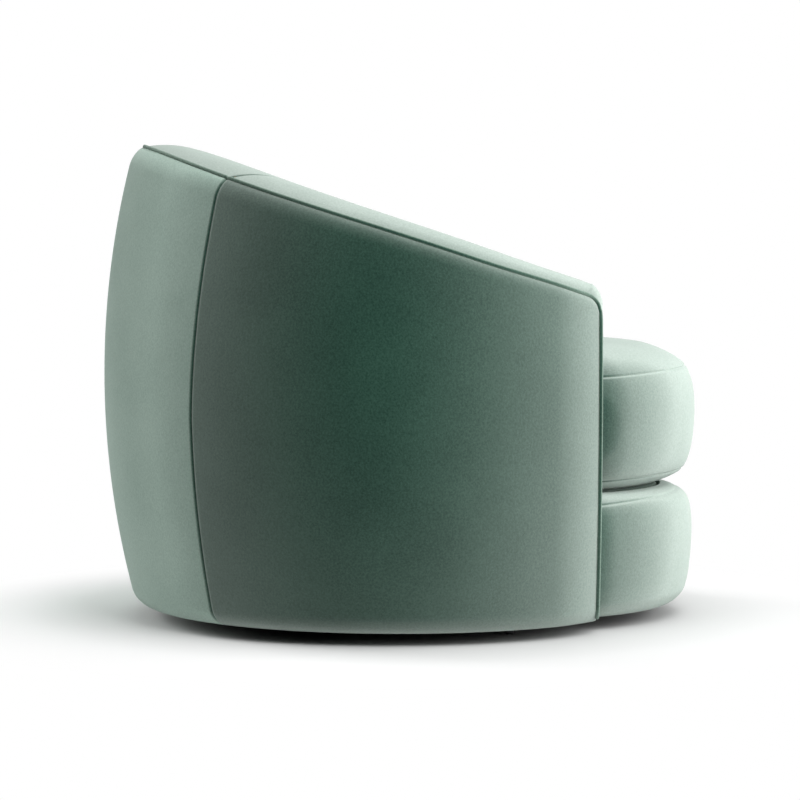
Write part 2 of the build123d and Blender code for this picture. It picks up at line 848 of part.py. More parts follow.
with BuildPart() as tube_end_caps:
    for turn in (0, 90, 180, 270):
        plane = Plane.XY.rotated((0, 0, base_turn + turn))
        with BuildSketch(plane.offset(glide_height)):
            with Locations((tube_end, 0)):
                Rectangle(cap_thickness, tube_width, align=(Align.MIN, Align.CENTER))
        extrude(amount=tube_height)
        with BuildSketch(plane.offset(glide_height + tube_wall + fit_gap)):
            with Locations((tube_end, 0)):
                Rectangle(cap_plug, tube_width - 2 * tube_wall - 2 * fit_gap, align=(Align.MAX, Align.CENTER))
        extrude(amount=tube_height - 2 * tube_wall - 2 * fit_gap)
        with BuildSketch(plane.offset(glide_height)):
            with Locations((foot_radius, 0)):
                Circle(glide_stem / 2 + cover_gap)
        extrude(amount=glide_stem_height + cover_gap, mode=Mode.SUBTRACT)
tube_end_caps.part.label = "tube_end_caps"
export_step(tube_end_caps.part, "parts/tube_end_caps.step")

with BuildPart() as glide_feet:
    with BuildSketch(Plane.XY):
        with PolarLocations(foot_radius, 4, start_angle=base_turn):
            Circle(glide_diameter / 2)
    extrude(amount=glide_height)
    fillet(faces().filter_by(Axis.Z).group_by(Axis.Z)[0].edges(), glide_roll)
    with BuildSketch(Plane.XY.offset(glide_height)):
        with PolarLocations(foot_radius, 4, start_angle=base_turn):
            Circle(glide_stem / 2)
    extrude(amount=glide_stem_height)
glide_feet.part.label = "glide_feet"
export_step(glide_feet.part, "parts/glide_feet.step")

screw_turn = base_turn + 45
with BuildPart() as base_hub_plate:
    with BuildSketch(Plane.XY.offset(tube_top)):
        Circle(hub_plate_radius)
        Circle(pin_diameter / 2 + fit_gap, mode=Mode.SUBTRACT)
        with PolarLocations(plate_bolt_circle, 4, start_angle=screw_turn):
            Circle(plate_bolt_diameter / 2 + fit_gap, mode=Mode.SUBTRACT)
    extrude(amount=hub_plate_thickness)
base_hub_plate.part.label = "base_hub_plate"
export_step(base_hub_plate.part, "parts/base_hub_plate.step")

# Bearing
head_drop = plate_bolt_head / 2 - plate_bolt_diameter / 2
with BuildPart() as lower_race_plate:
    with BuildSketch(Plane.XY.offset(hub_top)):
        Circle(race_plate_radius)
        Circle(pin_diameter / 2 + fit_gap, mode=Mode.SUBTRACT)
    extrude(amount=race_plate_thickness)
    with BuildSketch(Plane.XZ):
        with Locations((race_circle, ball_height)):
            Circle(race_groove)
    revolve(axis=Axis.Z, mode=Mode.SUBTRACT)
    with Locations((0, 0, lower_race_top)):
        with PolarLocations(plate_bolt_circle, 4, start_angle=screw_turn):
            CounterSinkHole(plate_bolt_diameter / 2 + fit_gap, plate_bolt_head / 2 + fit_gap)
lower_race_plate.part.label = "lower_race_plate"
export_step(lower_race_plate.part, "parts/lower_race_plate.step")

with BuildPart() as lower_plate_screws:
    with Locations((0, 0, lower_race_top)):
        with PolarLocations(plate_bolt_circle, 4, start_angle=screw_turn):
            add(countersunk_screw(plate_bolt_diameter, plate_bolt_head, head_drop,
                                  race_plate_thickness + hub_plate_thickness + lower_screw_bite))
lower_plate_screws.part.label = "lower_plate_screws"
export_step(lower_plate_screws.part, "parts/lower_plate_screws.step")

with BuildPart() as bearing_balls:
    with Locations((0, 0, ball_height)):
        with PolarLocations(race_circle, ball_count):
            Sphere(ball_diameter / 2)
bearing_balls.part.label = "bearing_balls"
export_step(bearing_balls.part, "parts/bearing_balls.step")

with BuildPart() as ball_cage:
    with BuildSketch(Plane.XY.offset(ball_height - cage_thickness / 2)):
        Circle(race_circle + cage_width / 2)
        Circle(race_circle - cage_width / 2, mode=Mode.SUBTRACT)
        with PolarLocations(race_circle, ball_count):
            Circle(ball_diameter / 2 + ball_gap, mode=Mode.SUBTRACT)
    extrude(amount=cage_thickness)
ball_cage.part.label = "ball_cage"
export_step(ball_cage.part, "parts/ball_cage.step")

bush_bore = pin_diameter / 2 + running_gap
bush_outside = bush_bore + bush_wall
with BuildPart() as upper_race_plate:
    with BuildSketch(Plane.XY.offset(upper_race_bottom)):
        Circle(race_plate_radius)
        Circle(bush_outside + fit_gap, mode=Mode.SUBTRACT)
    extrude(amount=race_plate_thickness)
    with BuildSketch(Plane.XZ):
        with Locations((race_circle, ball_height)):
            Circle(race_groove)
    revolve(axis=Axis.Z, mode=Mode.SUBTRACT)
    with Locations(Plane(origin=(0, 0, upper_race_bottom), z_dir=(0, 0, -1))):
        with PolarLocations(plate_bolt_circle, 4, start_angle=-base_turn):
            CounterSinkHole(plate_bolt_diameter / 2 + fit_gap, plate_bolt_head / 2 + fit_gap)
upper_race_plate.part.label = "upper_race_plate"
export_step(upper_race_plate.part, "parts/upper_race_plate.step")

with BuildPart() as pivot_bush:
    with BuildSketch(Plane.XY.offset(upper_race_bottom)):
        Circle(bush_outside)
    extrude(amount=race_plate_thickness)
    with BuildSketch(Plane.XY.offset(board_top)):
        Circle(bush_outside + bush_flange)
    extrude(amount=bush_flange_thickness)
    with BuildSketch(Plane.XY.offset(upper_race_bottom)):
        Circle(bush_bore)
    extrude(amount=race_plate_thickness + bush_flange_thickness, mode=Mode.SUBTRACT)
pivot_bush.part.label = "pivot_bush"
export_step(pivot_bush.part, "parts/pivot_bush.step")

washer_bottom = board_top + bush_flange_thickness + cover_gap
nut_bottom = washer_bottom + washer_thickness
pin_top = nut_bottom + nut_height + tube_wall
with BuildPart() as pivot_pin:
    with BuildSketch(Plane.XY.offset(glide_height - pin_head_height)):
        RegularPolygon(pin_head_diameter / 2, 6)
    extrude(amount=pin_head_height)
    with BuildSketch(Plane.XY.offset(glide_height)):
        Circle(pin_diameter / 2)
    extrude(amount=pin_top - glide_height)
pivot_pin.part.label = "pivot_pin"
export_step(pivot_pin.part, "parts/pivot_pin.step")

with BuildPart() as pivot_washer:
    with BuildSketch(Plane.XY.offset(washer_bottom)):
        Circle(washer_diameter / 2)
        Circle(pin_diameter / 2 + fit_gap, mode=Mode.SUBTRACT)
    extrude(amount=washer_thickness)
pivot_washer.part.label = "pivot_washer"
export_step(pivot_washer.part, "parts/pivot_washer.step")

with BuildPart() as pivot_nut:
    with BuildSketch(Plane.XY.offset(nut_bottom)):
        RegularPolygon(nut_width / 2, 6, major_radius=False)
        Circle(pin_diameter / 2 + fit_gap, mode=Mode.SUBTRACT)
    extrude(amount=nut_height)
pivot_nut.part.label = "pivot_nut"
export_step(pivot_nut.part, "parts/pivot_nut.step")

tee_nut_bottom = mounting_top - tee_nut_depth
with BuildPart() as plate_bolts:
    with Locations(Plane(origin=(0, 0, upper_race_bottom), z_dir=(0, 0, -1))):
        with PolarLocations(plate_bolt_circle, 4, start_angle=-base_turn):
            add(countersunk_screw(plate_bolt_diameter, plate_bolt_head, head_drop,
                                  race_plate_thickness + mounting_board_thickness))
plate_bolts.part.label = "plate_bolts"
export_step(plate_bolts.part, "parts/plate_bolts.step")

with BuildPart() as tee_nuts:
    with BuildSketch(Plane.XY.offset(tee_nut_bottom)):
        with PolarLocations(plate_bolt_circle, 4, start_angle=base_turn):
            Circle(tee_nut_barrel / 2)
    extrude(amount=tee_nut_depth)
    with BuildSketch(Plane.XY.offset(mounting_top)):
        with PolarLocations(plate_bolt_circle, 4, start_angle=base_turn):
            Circle(tee_nut_diameter / 2)
    extrude(amount=tee_nut_flange)
    with BuildSketch(Plane.XY.offset(tee_nut_bottom)):
        with PolarLocations(plate_bolt_circle, 4, start_angle=base_turn):
            Circle(plate_bolt_diameter / 2 + fit_gap)
    extrude(amount=tee_nut_depth + tee_nut_flange, mode=Mode.SUBTRACT)
tee_nuts.part.label = "tee_nuts"
export_step(tee_nuts.part, "parts/tee_nuts.step")
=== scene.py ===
"""Looks of a round velvet swivel chair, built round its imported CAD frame.

The chair faces -Y, stands on Z = 0 and turns about Z. Right is the sitter's own right, -X.
Sizes inside the classes are millimetres; meshes are made in metres.
"""

import json
import logging
import math
from dataclasses import dataclass, field
from enum import Enum
from typing import Any, Dict, List, Optional, Sequence, Tuple

import bmesh
import bpy
import numpy as np
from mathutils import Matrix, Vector


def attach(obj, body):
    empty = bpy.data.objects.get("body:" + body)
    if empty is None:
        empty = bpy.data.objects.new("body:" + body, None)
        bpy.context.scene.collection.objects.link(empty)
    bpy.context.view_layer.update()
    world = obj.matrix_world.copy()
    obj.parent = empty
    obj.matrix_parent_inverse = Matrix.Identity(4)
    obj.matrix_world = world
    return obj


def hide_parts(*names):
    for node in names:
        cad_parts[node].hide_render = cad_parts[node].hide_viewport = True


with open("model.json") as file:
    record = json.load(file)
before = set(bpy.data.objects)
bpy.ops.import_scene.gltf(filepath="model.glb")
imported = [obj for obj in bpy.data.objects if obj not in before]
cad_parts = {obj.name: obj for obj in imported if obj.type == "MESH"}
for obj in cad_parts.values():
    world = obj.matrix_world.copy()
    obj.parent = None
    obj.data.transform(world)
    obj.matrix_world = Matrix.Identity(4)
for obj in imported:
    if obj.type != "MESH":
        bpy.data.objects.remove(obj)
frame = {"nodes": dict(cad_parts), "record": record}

LOG = logging.getLogger("swivel_chair")
MM = 0.001
# Keeps X and Y of a vector and drops its height
LEVEL = np.array([1.0, 1.0, 0.0])
# Length of the cloth simulation
SETTLE_FRAMES = 14
# Depth and half width of a sewn seam, in millimetres
SEAM_DEPTH = 2.2
SEAM_WIDTH = 1.5


class Side(Enum):
    """The two sides of the chair, as the sign of X."""

    RIGHT = -1
    LEFT = 1


class Body(Enum):
    """CAD bodies that visual pieces ride on."""

    CHAIR = "chair"
    CUSHION = "cushion"


# Colour and node helpers


def linear(colour: str) -> Tuple[float, float, float, float]:
    """Turns an sRGB hex colour into linear light.

    Args:
        colour: Six hex digits, with or without a leading hash.

    Returns:
        Red, green, blue and alpha, each from 0 to 1.
    """
    digits = colour.lstrip("#")
    parts = [int(digits[at:at + 2], 16) / 255 for at in (0, 2, 4)]
    light = [part / 12.92 if part <= 0.04045 else ((part + 0.055) / 1.055) ** 2.4 for part in parts]
    return (light[0], light[1], light[2], 1.0)


WHITE = linear("#FFFFFF")


def add_node(
    tree: bpy.types.NodeTree,
    kind: str,
    values: Optional[Dict[Any, Any]] = None,
    links: Optional[Dict[Any, Any]] = None,
    **settings: Any,
) -> bpy.types.Node:
    """Adds one shader node.

    Args:
        tree: Node tree that gets the node.
        kind: Blender's class name of the node.
        values: Input socket to constant value.
        links: Input socket to the output socket that feeds it.
        **settings: Properties of the node itself.

    Returns:
        The new node.
    """
    node = tree.nodes.new(kind)
    for key, value in settings.items():
        setattr(node, key, value)
    for socket, value in (values or {}).items():
        node.inputs[socket].default_value = value
    for socket, source in (links or {}).items():
        tree.links.new(source, node.inputs[socket])
    return node


def noise(
    tree: bpy.types.NodeTree,
    place: Any,
    size_mm: float,
    detail: float,
    roughness: float = 0.5,
    distortion: float = 0.0,
) -> Any:
    """Adds a noise pattern of a real size.

    Args:
        tree: Node tree that gets the node.
        place: Output socket with coordinates in metres.
        size_mm: Size of the pattern's patches.
        detail: Number of finer layers.
        roughness: Weight of the finer layers.
        distortion: How far the pattern is warped.

    Returns:
        The output socket with the pattern's height.
    """
    values = {
        "Scale": 1 / (size_mm * MM),
        "Detail": detail,
        "Roughness": roughness,
        "Distortion": distortion,
    }
    return add_node(tree, "ShaderNodeTexNoise", values, {"Vector": place}).outputs["Fac"]


def ramp(tree: bpy.types.NodeTree, share: Any, *stops: Tuple[float, str]) -> Any:
    """Adds a colour ramp.

    Args:
        tree: Node tree that gets the node.
        share: Output socket that picks the colour.
        *stops: Place and sRGB hex colour of the ramp's two ends.

    Returns:
        The colour's output socket.
    """
    node = add_node(tree, "ShaderNodeValToRGB", links={"Fac": share})
    for element, (position, colour) in zip(node.color_ramp.elements, stops):
        element.position = position
        element.color = linear(colour)
    return node.outputs["Color"]


def mixed(tree: bpy.types.NodeTree, share: Any, first: Any, second: Any) -> Any:
    """Adds a blend of two shaders.

    Args:
        tree: Node tree that gets the node.
        share: Output socket, 0 for the first shader and 1 for the second.
        first: Output socket of the first shader.
        second: Output socket of the second shader.

    Returns:
        The blend's output socket.
    """
    return add_node(tree, "ShaderNodeMixShader", links={0: share, 1: first, 2: second}).outputs[0]


# Finishes


@dataclass(frozen=True)
class Finish:
    """One surface finish.

    Attributes:
        name: Material name, said in words for what it is.
    """

    name: str

    def surface(self, tree: bpy.types.NodeTree, place: Any) -> Any:
        """Adds the finish's own nodes.

        Args:
            tree: Node tree of the material.
            place: Output socket with the object's own coordinates in metres.

        Returns:
            The shader output socket.
        """
        raise NotImplementedError

    def material(self) -> bpy.types.Material:
        """Makes the material, or gives back the one made before.

        Returns:
            The Blender material.
        """
        made = bpy.data.materials.get(self.name)
        if made is not None:
            return made
        made = bpy.data.materials.new(self.name)
        made.use_nodes = True
        tree = made.node_tree
        tree.nodes.clear()
        place = add_node(tree, "ShaderNodeTexCoord").outputs["Object"]
        shader = self.surface(tree, place)
        add_node(tree, "ShaderNodeOutputMaterial", links={"Surface": shader})
        return made


@dataclass(frozen=True)
class Velvet(Finish):
    """Short cut-pile velvet: deep where the pile points at the eye, with a pale painted sheen where
    its side shows.

    Attributes:
        deep: Darkest colour down in the pile.
        brushed: Lightest colour down in the pile.
        painted_sheen_dark: Darkest colour of the painted sheen, a pale lobe mixed in as the cloth
            turns from the eye.
        painted_sheen_light: Lightest colour of the painted sheen; also tints the shader's own
            sheen.
        painted_rim_sheen: Colour of the painted sheen added at the outline.
        painted_sheen_turn: How far the cloth has turned away when the painted sheen shows in full,
            from 0 to 1.
        lean: How far the painted sheen is tilted forward, as if the pile were brushed that way.
        grain_mm: Size of the mottled grain, coarser than the real pile so that it shows.
        cloud_mm: Size of the brushed patches.
        grain_share: Weight of the grain against the patches.
        rim: How wide the painted sheen at the outline is.
    """

    deep: str = "#1B362D"
    brushed: str = "#365649"
    painted_sheen_dark: str = "#A6B5AC"
    painted_sheen_light: str = "#C6D2CB"
    painted_rim_sheen: str = "#B4BFB9"
    painted_sheen_turn: float = 0.6
    lean: float = 0.0
    grain_mm: float = 3.0
    cloud_mm: float = 130.0
    grain_share: float = 0.72
    rim: float = 0.14

    def surface(self, tree: bpy.types.NodeTree, place: Any) -> Any:
        """Adds the velvet's nodes; see Finish.surface."""
        cloud = noise(tree, place, self.cloud_mm, 2.0)
        grain = noise(tree, place, self.grain_mm, 3.0, roughness=0.65)
        blend = add_node(
            tree,
            "ShaderNodeMix",
            {"Factor": self.grain_share},
            {"A": cloud, "B": grain},
            data_type="FLOAT",
        ).outputs["Result"]
        depths = ramp(tree, blend, (0.3, self.deep), (0.7, self.brushed))
        # Painted sheen: pale colours of the lobe mixed in where the cloth turns from the eye
        sheen_paint = ramp(tree, blend, (0.3, self.painted_sheen_dark), (0.7, self.painted_sheen_light))
        bump = add_node(
            tree, "ShaderNodeBump", {"Strength": 0.35, "Distance": 0.4 * MM}, {"Height": grain}
        ).outputs["Normal"]
        cloth = add_node(
            tree,
            "ShaderNodeBsdfPrincipled",
            {
                "Roughness": 0.95,
                "Specular IOR Level": 0.03,
                "Sheen Weight": 0.05,
                "Sheen Roughness": 0.6,
                "Sheen Tint": linear(self.painted_sheen_light),
            },
            {"Base Color": depths, "Normal": bump},
        )
        pile = add_node(
            tree, "ShaderNodeBsdfDiffuse", {"Roughness": 1.0}, {"Color": sheen_paint, "Normal": bump}
        )
        # Tilts the normal that judges the painted sheen, moving its dark patch off the middle
        ahead = add_node(
            tree,
            "ShaderNodeVectorTransform",
            {"Vector": (0.0, -self.lean, 0.0)},
            vector_type="VECTOR",
            convert_from="OBJECT",
            convert_to="WORLD",
        )
        leaning = add_node(
            tree,
            "ShaderNodeVectorMath",
            links={0: bump, 1: ahead.outputs["Vector"]},
            operation="ADD",
        )
        pointing = add_node(
            tree, "ShaderNodeVectorMath", links={0: leaning.outputs[0]}, operation="NORMALIZE"
        )
        # How far the cloth turns from the eye sets how much painted sheen shows
        turned = add_node(
            tree, "ShaderNodeLayerWeight", {"Blend": 0.5}, {"Normal": pointing.outputs[0]}
        )
        shown = add_node(
            tree,
            "ShaderNodeMapRange",
            {"From Max": self.painted_sheen_turn},
            {"Value": turned.outputs["Facing"]},
        )
        both = mixed(tree, shown.outputs["Result"], cloth.outputs[0], pile.outputs[0])
        # Painted sheen at the outline: a pale diffuse mixed in by the facing angle
        painted_rim_sheen = add_node(
            tree,
            "ShaderNodeBsdfDiffuse",
            {"Color": linear(self.painted_rim_sheen), "Roughness": 1.0},
            {"Normal": bump},
        )
        edge = add_node(tree, "ShaderNodeLayerWeight", {"Blend": self.rim})
        return mixed(tree, edge.outputs["Facing"], both, painted_rim_sheen.outputs[0])


@dataclass(frozen=True)
class Coated(Finish):
    """A coated or moulded skin with a faint orange peel.

    Attributes:
        colour: Main colour.
        roughness: How dull the skin is.
        metallic: 1 for bare metal, 0 for a coating.
        peel_mm: Size of the skin's unevenness.
        peel: Strength of the unevenness.
    """

    colour: str = "#0B0B0C"
    roughness: float = 0.45
    metallic: float = 0.0
    peel_mm: float = 1.5
    peel: float = 0.08

    def surface(self, tree: bpy.types.NodeTree, place: Any) -> Any:
        """Adds the coating's nodes; see Finish.surface."""
        peel = noise(tree, place, self.peel_mm, 2.0)
        bump = add_node(
            tree, "ShaderNodeBump", {"Strength": self.peel, "Distance": 0.2 * MM}, {"Height": peel}
        )
        wear = add_node(
            tree,
            "ShaderNodeMapRange",
            {"To Min": self.roughness - 0.06, "To Max": self.roughness + 0.08},
            {"Value": peel},
        )
        skin = add_node(
            tree,
            "ShaderNodeBsdfPrincipled",
            {"Base Color": linear(self.colour), "Metallic": self.metallic},
            {"Roughness": wear.outputs["Result"], "Normal": bump.outputs["Normal"]},
        )
        return skin.outputs[0]


@dataclass(frozen=True)
class Plywood(Finish):
    """Bare plywood with a stretched grain.

    Attributes:
        pale: Colour between the grain lines.
        dark: Colour of the grain lines.
        grain_mm: Distance between grain lines.
    """

    pale: str = "#D2B48A"
    dark: str = "#A98355"
    grain_mm: float = 9.0

    def surface(self, tree: bpy.types.NodeTree, place: Any) -> Any:
        """Adds the plywood's nodes; see Finish.surface."""
        stretched = add_node(
            tree, "ShaderNodeMapping", {"Scale": (1.0, 0.08, 1.0)}, {"Vector": place}
        )
        grain = noise(tree, stretched.outputs["Vector"], self.grain_mm, 4.0, distortion=0.6)
        colour = ramp(tree, grain, (0.35, self.dark), (0.65, self.pale))
        board = add_node(
            tree, "ShaderNodeBsdfPrincipled", {"Roughness": 0.7}, {"Base Color": colour}
        )
        return board.outputs[0]


@dataclass(frozen=True)
class Woven(Finish):
    """Plain woven cloth with visible threads.

    Attributes:
        colour: Thread colour.
        gap: Colour between threads.
        thread_mm: Distance between threads.
    """

    colour: str = "#1A1A1A"
    gap: str = "#0A0A0A"
    thread_mm: float = 1.2

    def surface(self, tree: bpy.types.NodeTree, place: Any) -> Any:
        """Adds the weave's nodes; see Finish.surface."""
        weave = add_node(
            tree,
            "ShaderNodeTexChecker",
            {
                "Scale": 1 / (self.thread_mm * MM),
                "Color1": linear(self.colour),
                "Color2": linear(self.gap),
            },
            {"Vector": place},
        )
        colour = weave.outputs["Color"]
        cloth = add_node(
            tree, "ShaderNodeBsdfPrincipled", {"Roughness": 0.9}, {"Base Color": colour}
        )
        return cloth.outputs[0]


# Cut-pile velvet, woven and sheared: dark face on, with a pale painted sheen towards every edge
VELVET = Velvet("sage_green_velvet")
# The same cloth hung with its pile upwards, with a paler painted sheen that shows sooner:
# the back is painted lighter, standing in for more light falling on it from behind
BACK_VELVET_PAINTED_PALER = Velvet(
    "sage_green_velvet_back_painted_paler", painted_sheen_dark="#B8D1C5", painted_sheen_light="#DCF0E5", painted_rim_sheen="#BACBC2", painted_sheen_turn=0.47
)
# The same cloth stretched over a cord, a darker copy that paints the shade of the piping's creases
PIPING_VELVET_PAINTED_DARKER = Velvet(
    "sage_green_velvet_piping_painted_darker", painted_sheen_dark="#78907F", painted_sheen_light="#A3B8AC", painted_rim_sheen="#9DABA4"
)
# The same cloth with its painted sheen tilted forward and widened, so that its darkest patch lies
# off the middle: painted shade standing in for more light falling from the front
ARM_VELVET = Velvet("sage_green_velvet_arm", painted_sheen_turn=0.74, lean=0.12)
# Plain woven cotton, dull, with threads drawn coarse enough to show
DECK_CLOTH = Woven("grey_green_deck_cloth", colour="#5C6B62", gap="#4B5850")
# Thin woven lining stapled on: black and flat
LINING = Woven("black_bottom_lining")
CAD_FINISHES: Dict[str, Finish] = {
    # Birch plywood, sawn and sanded: pale and dull, with a long soft grain
    "plywood": Plywood("bare_birch_plywood"),
    # Steel tube, powder coated and baked: black, half dull, faintly pebbled
    "black_steel": Coated("black_powder_coated_steel"),
    # Pressed steel, zinc plated: bright bare metal with a soft gleam
    "bright_steel": Coated("zinc_plated_steel", colour="#A9ABAD", roughness=0.3, metallic=1.0),
    # Drawn spring wire, oiled: dark bare metal with a soft gleam
    "spring_steel": Coated("oiled_spring_wire", colour="#5E6063", roughness=0.35, metallic=1.0),
    # Injection moulded plastic: black and dull, with a fine texture
    "black_plastic": Coated("black_moulded_plastic", colour="#101011", roughness=0.5),
}


# Mesh helpers


def mesh_object(name: str, points: np.ndarray, faces: Sequence[Sequence[int]]) -> bpy.types.Object:
    """Makes a smooth mesh object.

    Args:
        name: Piece name.
        points: Corner points in millimetres, one row each.
        faces: Corner numbers of each face.

    Returns:
        The object, linked into the scene.
    """
    mesh = bpy.data.meshes.new(name)
    mesh.from_pydata((np.asarray(points) * MM).tolist(), [], [list(face) for face in faces])
    mesh.validate()
    mesh.polygons.foreach_set("use_smooth", [True] * len(mesh.polygons))
    mesh.update()
    made = bpy.data.objects.new(name, mesh)
    bpy.context.scene.collection.objects.link(made)
    return made


def grid_faces(rows: int, columns: int, wrap: bool = False) -> List[Tuple[int, int, int, int]]:
    """Faces of a grid of points.

    Args:
        rows: Points along the first direction.
        columns: Points along the second direction.
        wrap: True if the second direction closes on itself.

    Returns:
        Corner numbers of each four-sided face.
    """
    faces = []
    for row in range(rows - 1):
        for column in range(columns if wrap else columns - 1):
            after = (column + 1) % columns
            faces.append(
                (
                    row * columns + column,
                    row * columns + after,
                    (row + 1) * columns + after,
                    (row + 1) * columns + column,
                )
            )
    return faces


def grid_normals(grid: np.ndarray, away: np.ndarray) -> np.ndarray:
    """Unit normals of a grid of points.

    Args:
        grid: Points, shaped (rows, columns, 3).
        away: Directions the normals should point along, same shape or broadcastable.

    Returns:
        Normals, shaped as the grid.
    """
    along = np.gradient(grid, axis=0)
    across = np.gradient(grid, axis=1)
    normals = np.cross(along, across)
    normals /= np.maximum(np.linalg.norm(normals, axis=2, keepdims=True), 1e-9)
    if float((normals * away).sum()) < 0:
        normals = -normals
    return normals


def thick_sheet(
    name: str, grid: np.ndarray, away: np.ndarray, thickness: float
) -> bpy.types.Object:
    """Makes a closed padded sheet from its outer surface.

    Args:
        name: Piece name.
        grid: Outer surface, shaped (rows, columns, 3), in millimetres.
        away: Directions that point out of the sheet.
        thickness: Depth of the sheet behind its surface, in millimetres.

    Returns:
        The mesh object.
    """
    rows, columns = grid.shape[:2]
    inner = grid - grid_normals(grid, away) * thickness
    outer_faces = grid_faces(rows, columns)
    first = rows * columns
    middle = (rows // 2, columns // 2)
    along = grid[middle[0] + 1, middle[1]] - grid[middle]
    across = grid[middle[0], middle[1] + 1] - grid[middle]
    toward = np.broadcast_to(away, grid.shape)[middle]
    flip = float(np.cross(across, along) @ toward) < 0
    if flip:
        outer_faces = [face[::-1] for face in outer_faces]
    faces = list(outer_faces)
    faces += [tuple(first + corner for corner in face[::-1]) for face in outer_faces]
    ring = list(range(columns))
    ring += [row * columns + columns - 1 for row in range(1, rows)]
    ring += [(rows - 1) * columns + column for column in range(columns - 2, -1, -1)]
    ring += [row * columns for row in range(rows - 2, 0, -1)]
    for here, after in zip(ring, ring[1:] + ring[:1]):
        rim = (after, here, first + here, first + after)
        faces.append(rim[::-1] if flip else rim)
    made = mesh_object(name, np.concatenate([grid.reshape(-1, 3), inner.reshape(-1, 3)]), faces)
    for polygon in made.data.polygons[-len(ring):]:
        polygon.use_smooth = False
    return made


def closed_loops(name: str, loops: np.ndarray) -> bpy.types.Object:
    """Makes a closed solid skin through a run of closed loops, with both ends capped.

    Args:
        name: Piece name.
        loops: Points, shaped (loops, points of a loop, 3), in millimetres.

    Returns:
        The mesh object.
    """
    rows, columns = loops.shape[:2]
    faces: List[Sequence[int]] = list(grid_faces(rows, columns, wrap=True))
    faces.append(tuple(range(columns))[::-1])
    faces.append(tuple((rows - 1) * columns + column for column in range(columns)))
    made = mesh_object(name, loops.reshape(-1, 3), faces)
    tidy_normals(made)
    return made


def spun(
    name: str, profile: np.ndarray, centre: Tuple[float, float], steps: int
) -> bpy.types.Object:
    """Makes a round body by spinning a profile that starts and ends on its axis.

    Args:
        name: Piece name.
        profile: Radius and height of each point, in millimetres, with radius 0 first and last.
        centre: X and Y of the upright axis.
        steps: Number of points round the axis.

    Returns:
        The mesh object.
    """
    turns = np.linspace(0, 2 * math.pi, steps, endpoint=False)
    body = profile[1:-1]
    rings = np.stack(
        [
            centre[0] + np.outer(body[:, 0], np.cos(turns)),
            centre[1] + np.outer(body[:, 0], np.sin(turns)),
            np.repeat(body[:, 1:2], steps, axis=1),
        ],
        axis=2,
    )
    points = list(rings.reshape(-1, 3))
    faces: List[Sequence[int]] = list(grid_faces(len(body), steps, wrap=True))
    for pole, ring in ((profile[0], 0), (profile[-1], len(body) - 1)):
        points.append(np.array([centre[0], centre[1], pole[1]]))
        tip = len(points) - 1
        for step in range(steps):
            faces.append((ring * steps + step, ring * steps + (step + 1) % steps, tip))
    made = mesh_object(name, np.array(points), faces)
    tidy_normals(made)
    return made


def tidy_normals(piece: bpy.types.Object) -> None:
    """Turns all faces of a closed piece outwards.

    Args:
        piece: Mesh object to tidy.
    """
    work = bmesh.new()
    work.from_mesh(piece.data)
    bmesh.ops.recalc_face_normals(work, faces=work.faces)
    work.to_mesh(piece.data)
    work.free()


def tube(name: str, path: np.ndarray, radius: float, sides: int = 12) -> bpy.types.Object:
    """Makes a round cord along a path.

    Args:
        name: Piece name.
        path: Middle points of the cord, in millimetres.
        radius: Radius of the cord.
        sides: Points round the cord.

    Returns:
        The mesh object.
    """
    heading = np.gradient(path, axis=0)
    heading /= np.linalg.norm(heading, axis=1, keepdims=True)
    guide = np.array([0.0, 0.0, 1.0])
    first = np.cross(heading, guide + 0.001)
    weak = np.linalg.norm(first, axis=1) < 0.2
    first[weak] = np.cross(heading[weak], np.array([0.0, 1.0, 0.0]))
    first /= np.linalg.norm(first, axis=1, keepdims=True)
    for at in range(1, len(path)):
        carried = first[at - 1] - heading[at] * float(first[at - 1] @ heading[at])
        first[at] = carried / np.linalg.norm(carried)
    second = np.cross(heading, first)
    turns = np.linspace(0, 2 * math.pi, sides, endpoint=False)
    loops = path[:, None, :] + radius * (
        first[:, None, :] * np.cos(turns)[None, :, None]
        + second[:, None, :] * np.sin(turns)[None, :, None]
    )
    return closed_loops(name, loops)


def points_of(piece: bpy.types.Object) -> np.ndarray:
    """Reads the points of a piece.

    Args:
        piece: Mesh object.

    Returns:
        Points in millimetres, one row each.
    """
    return np.array([vertex.co for vertex in piece.data.vertices]) / MM


def move_points(piece: bpy.types.Object, points: np.ndarray) -> None:
    """Moves the points of a piece.

    Args:
        piece: Mesh object.
        points: New places in millimetres, one row each.
    """
    piece.data.vertices.foreach_set("co", (points * MM).astype(np.float32).ravel())
    piece.data.update()


def run_lengths(path: np.ndarray) -> np.ndarray:
    """Distance of each point of a path from the path's start.

    Args:
        path: Points, one row each.

    Returns:
        Distances along the path, 0 first.
    """
    return np.concatenate([[0], np.cumsum(np.linalg.norm(np.diff(path, axis=0), axis=1))])


def resampled(path: np.ndarray, places: np.ndarray) -> np.ndarray:
    """Points of a path at given distances from its start.

    Args:
        path: Points, one row each.
        places: Distances along the path.

    Returns:
        One point for each distance.
    """
    lengths = run_lengths(path)
    return np.stack([np.interp(places, lengths, column) for column in path.T], axis=1)


def rounded(outline: np.ndarray, count: int, rounds: int) -> np.ndarray:
    """Spaces an outline evenly and rounds its corners.

    Args:
        outline: Points, one row each.
        count: Number of points wanted.
        rounds: How many times each point is drawn towards its neighbours.

    Returns:
        The rounded outline, with its ends where they were.
    """
    smooth = resampled(outline, np.linspace(0, run_lengths(outline)[-1], count))
    for _ in range(rounds):
        smooth[1:-1] = 0.25 * smooth[:-2] + 0.5 * smooth[1:-1] + 0.25 * smooth[2:]
    return smooth


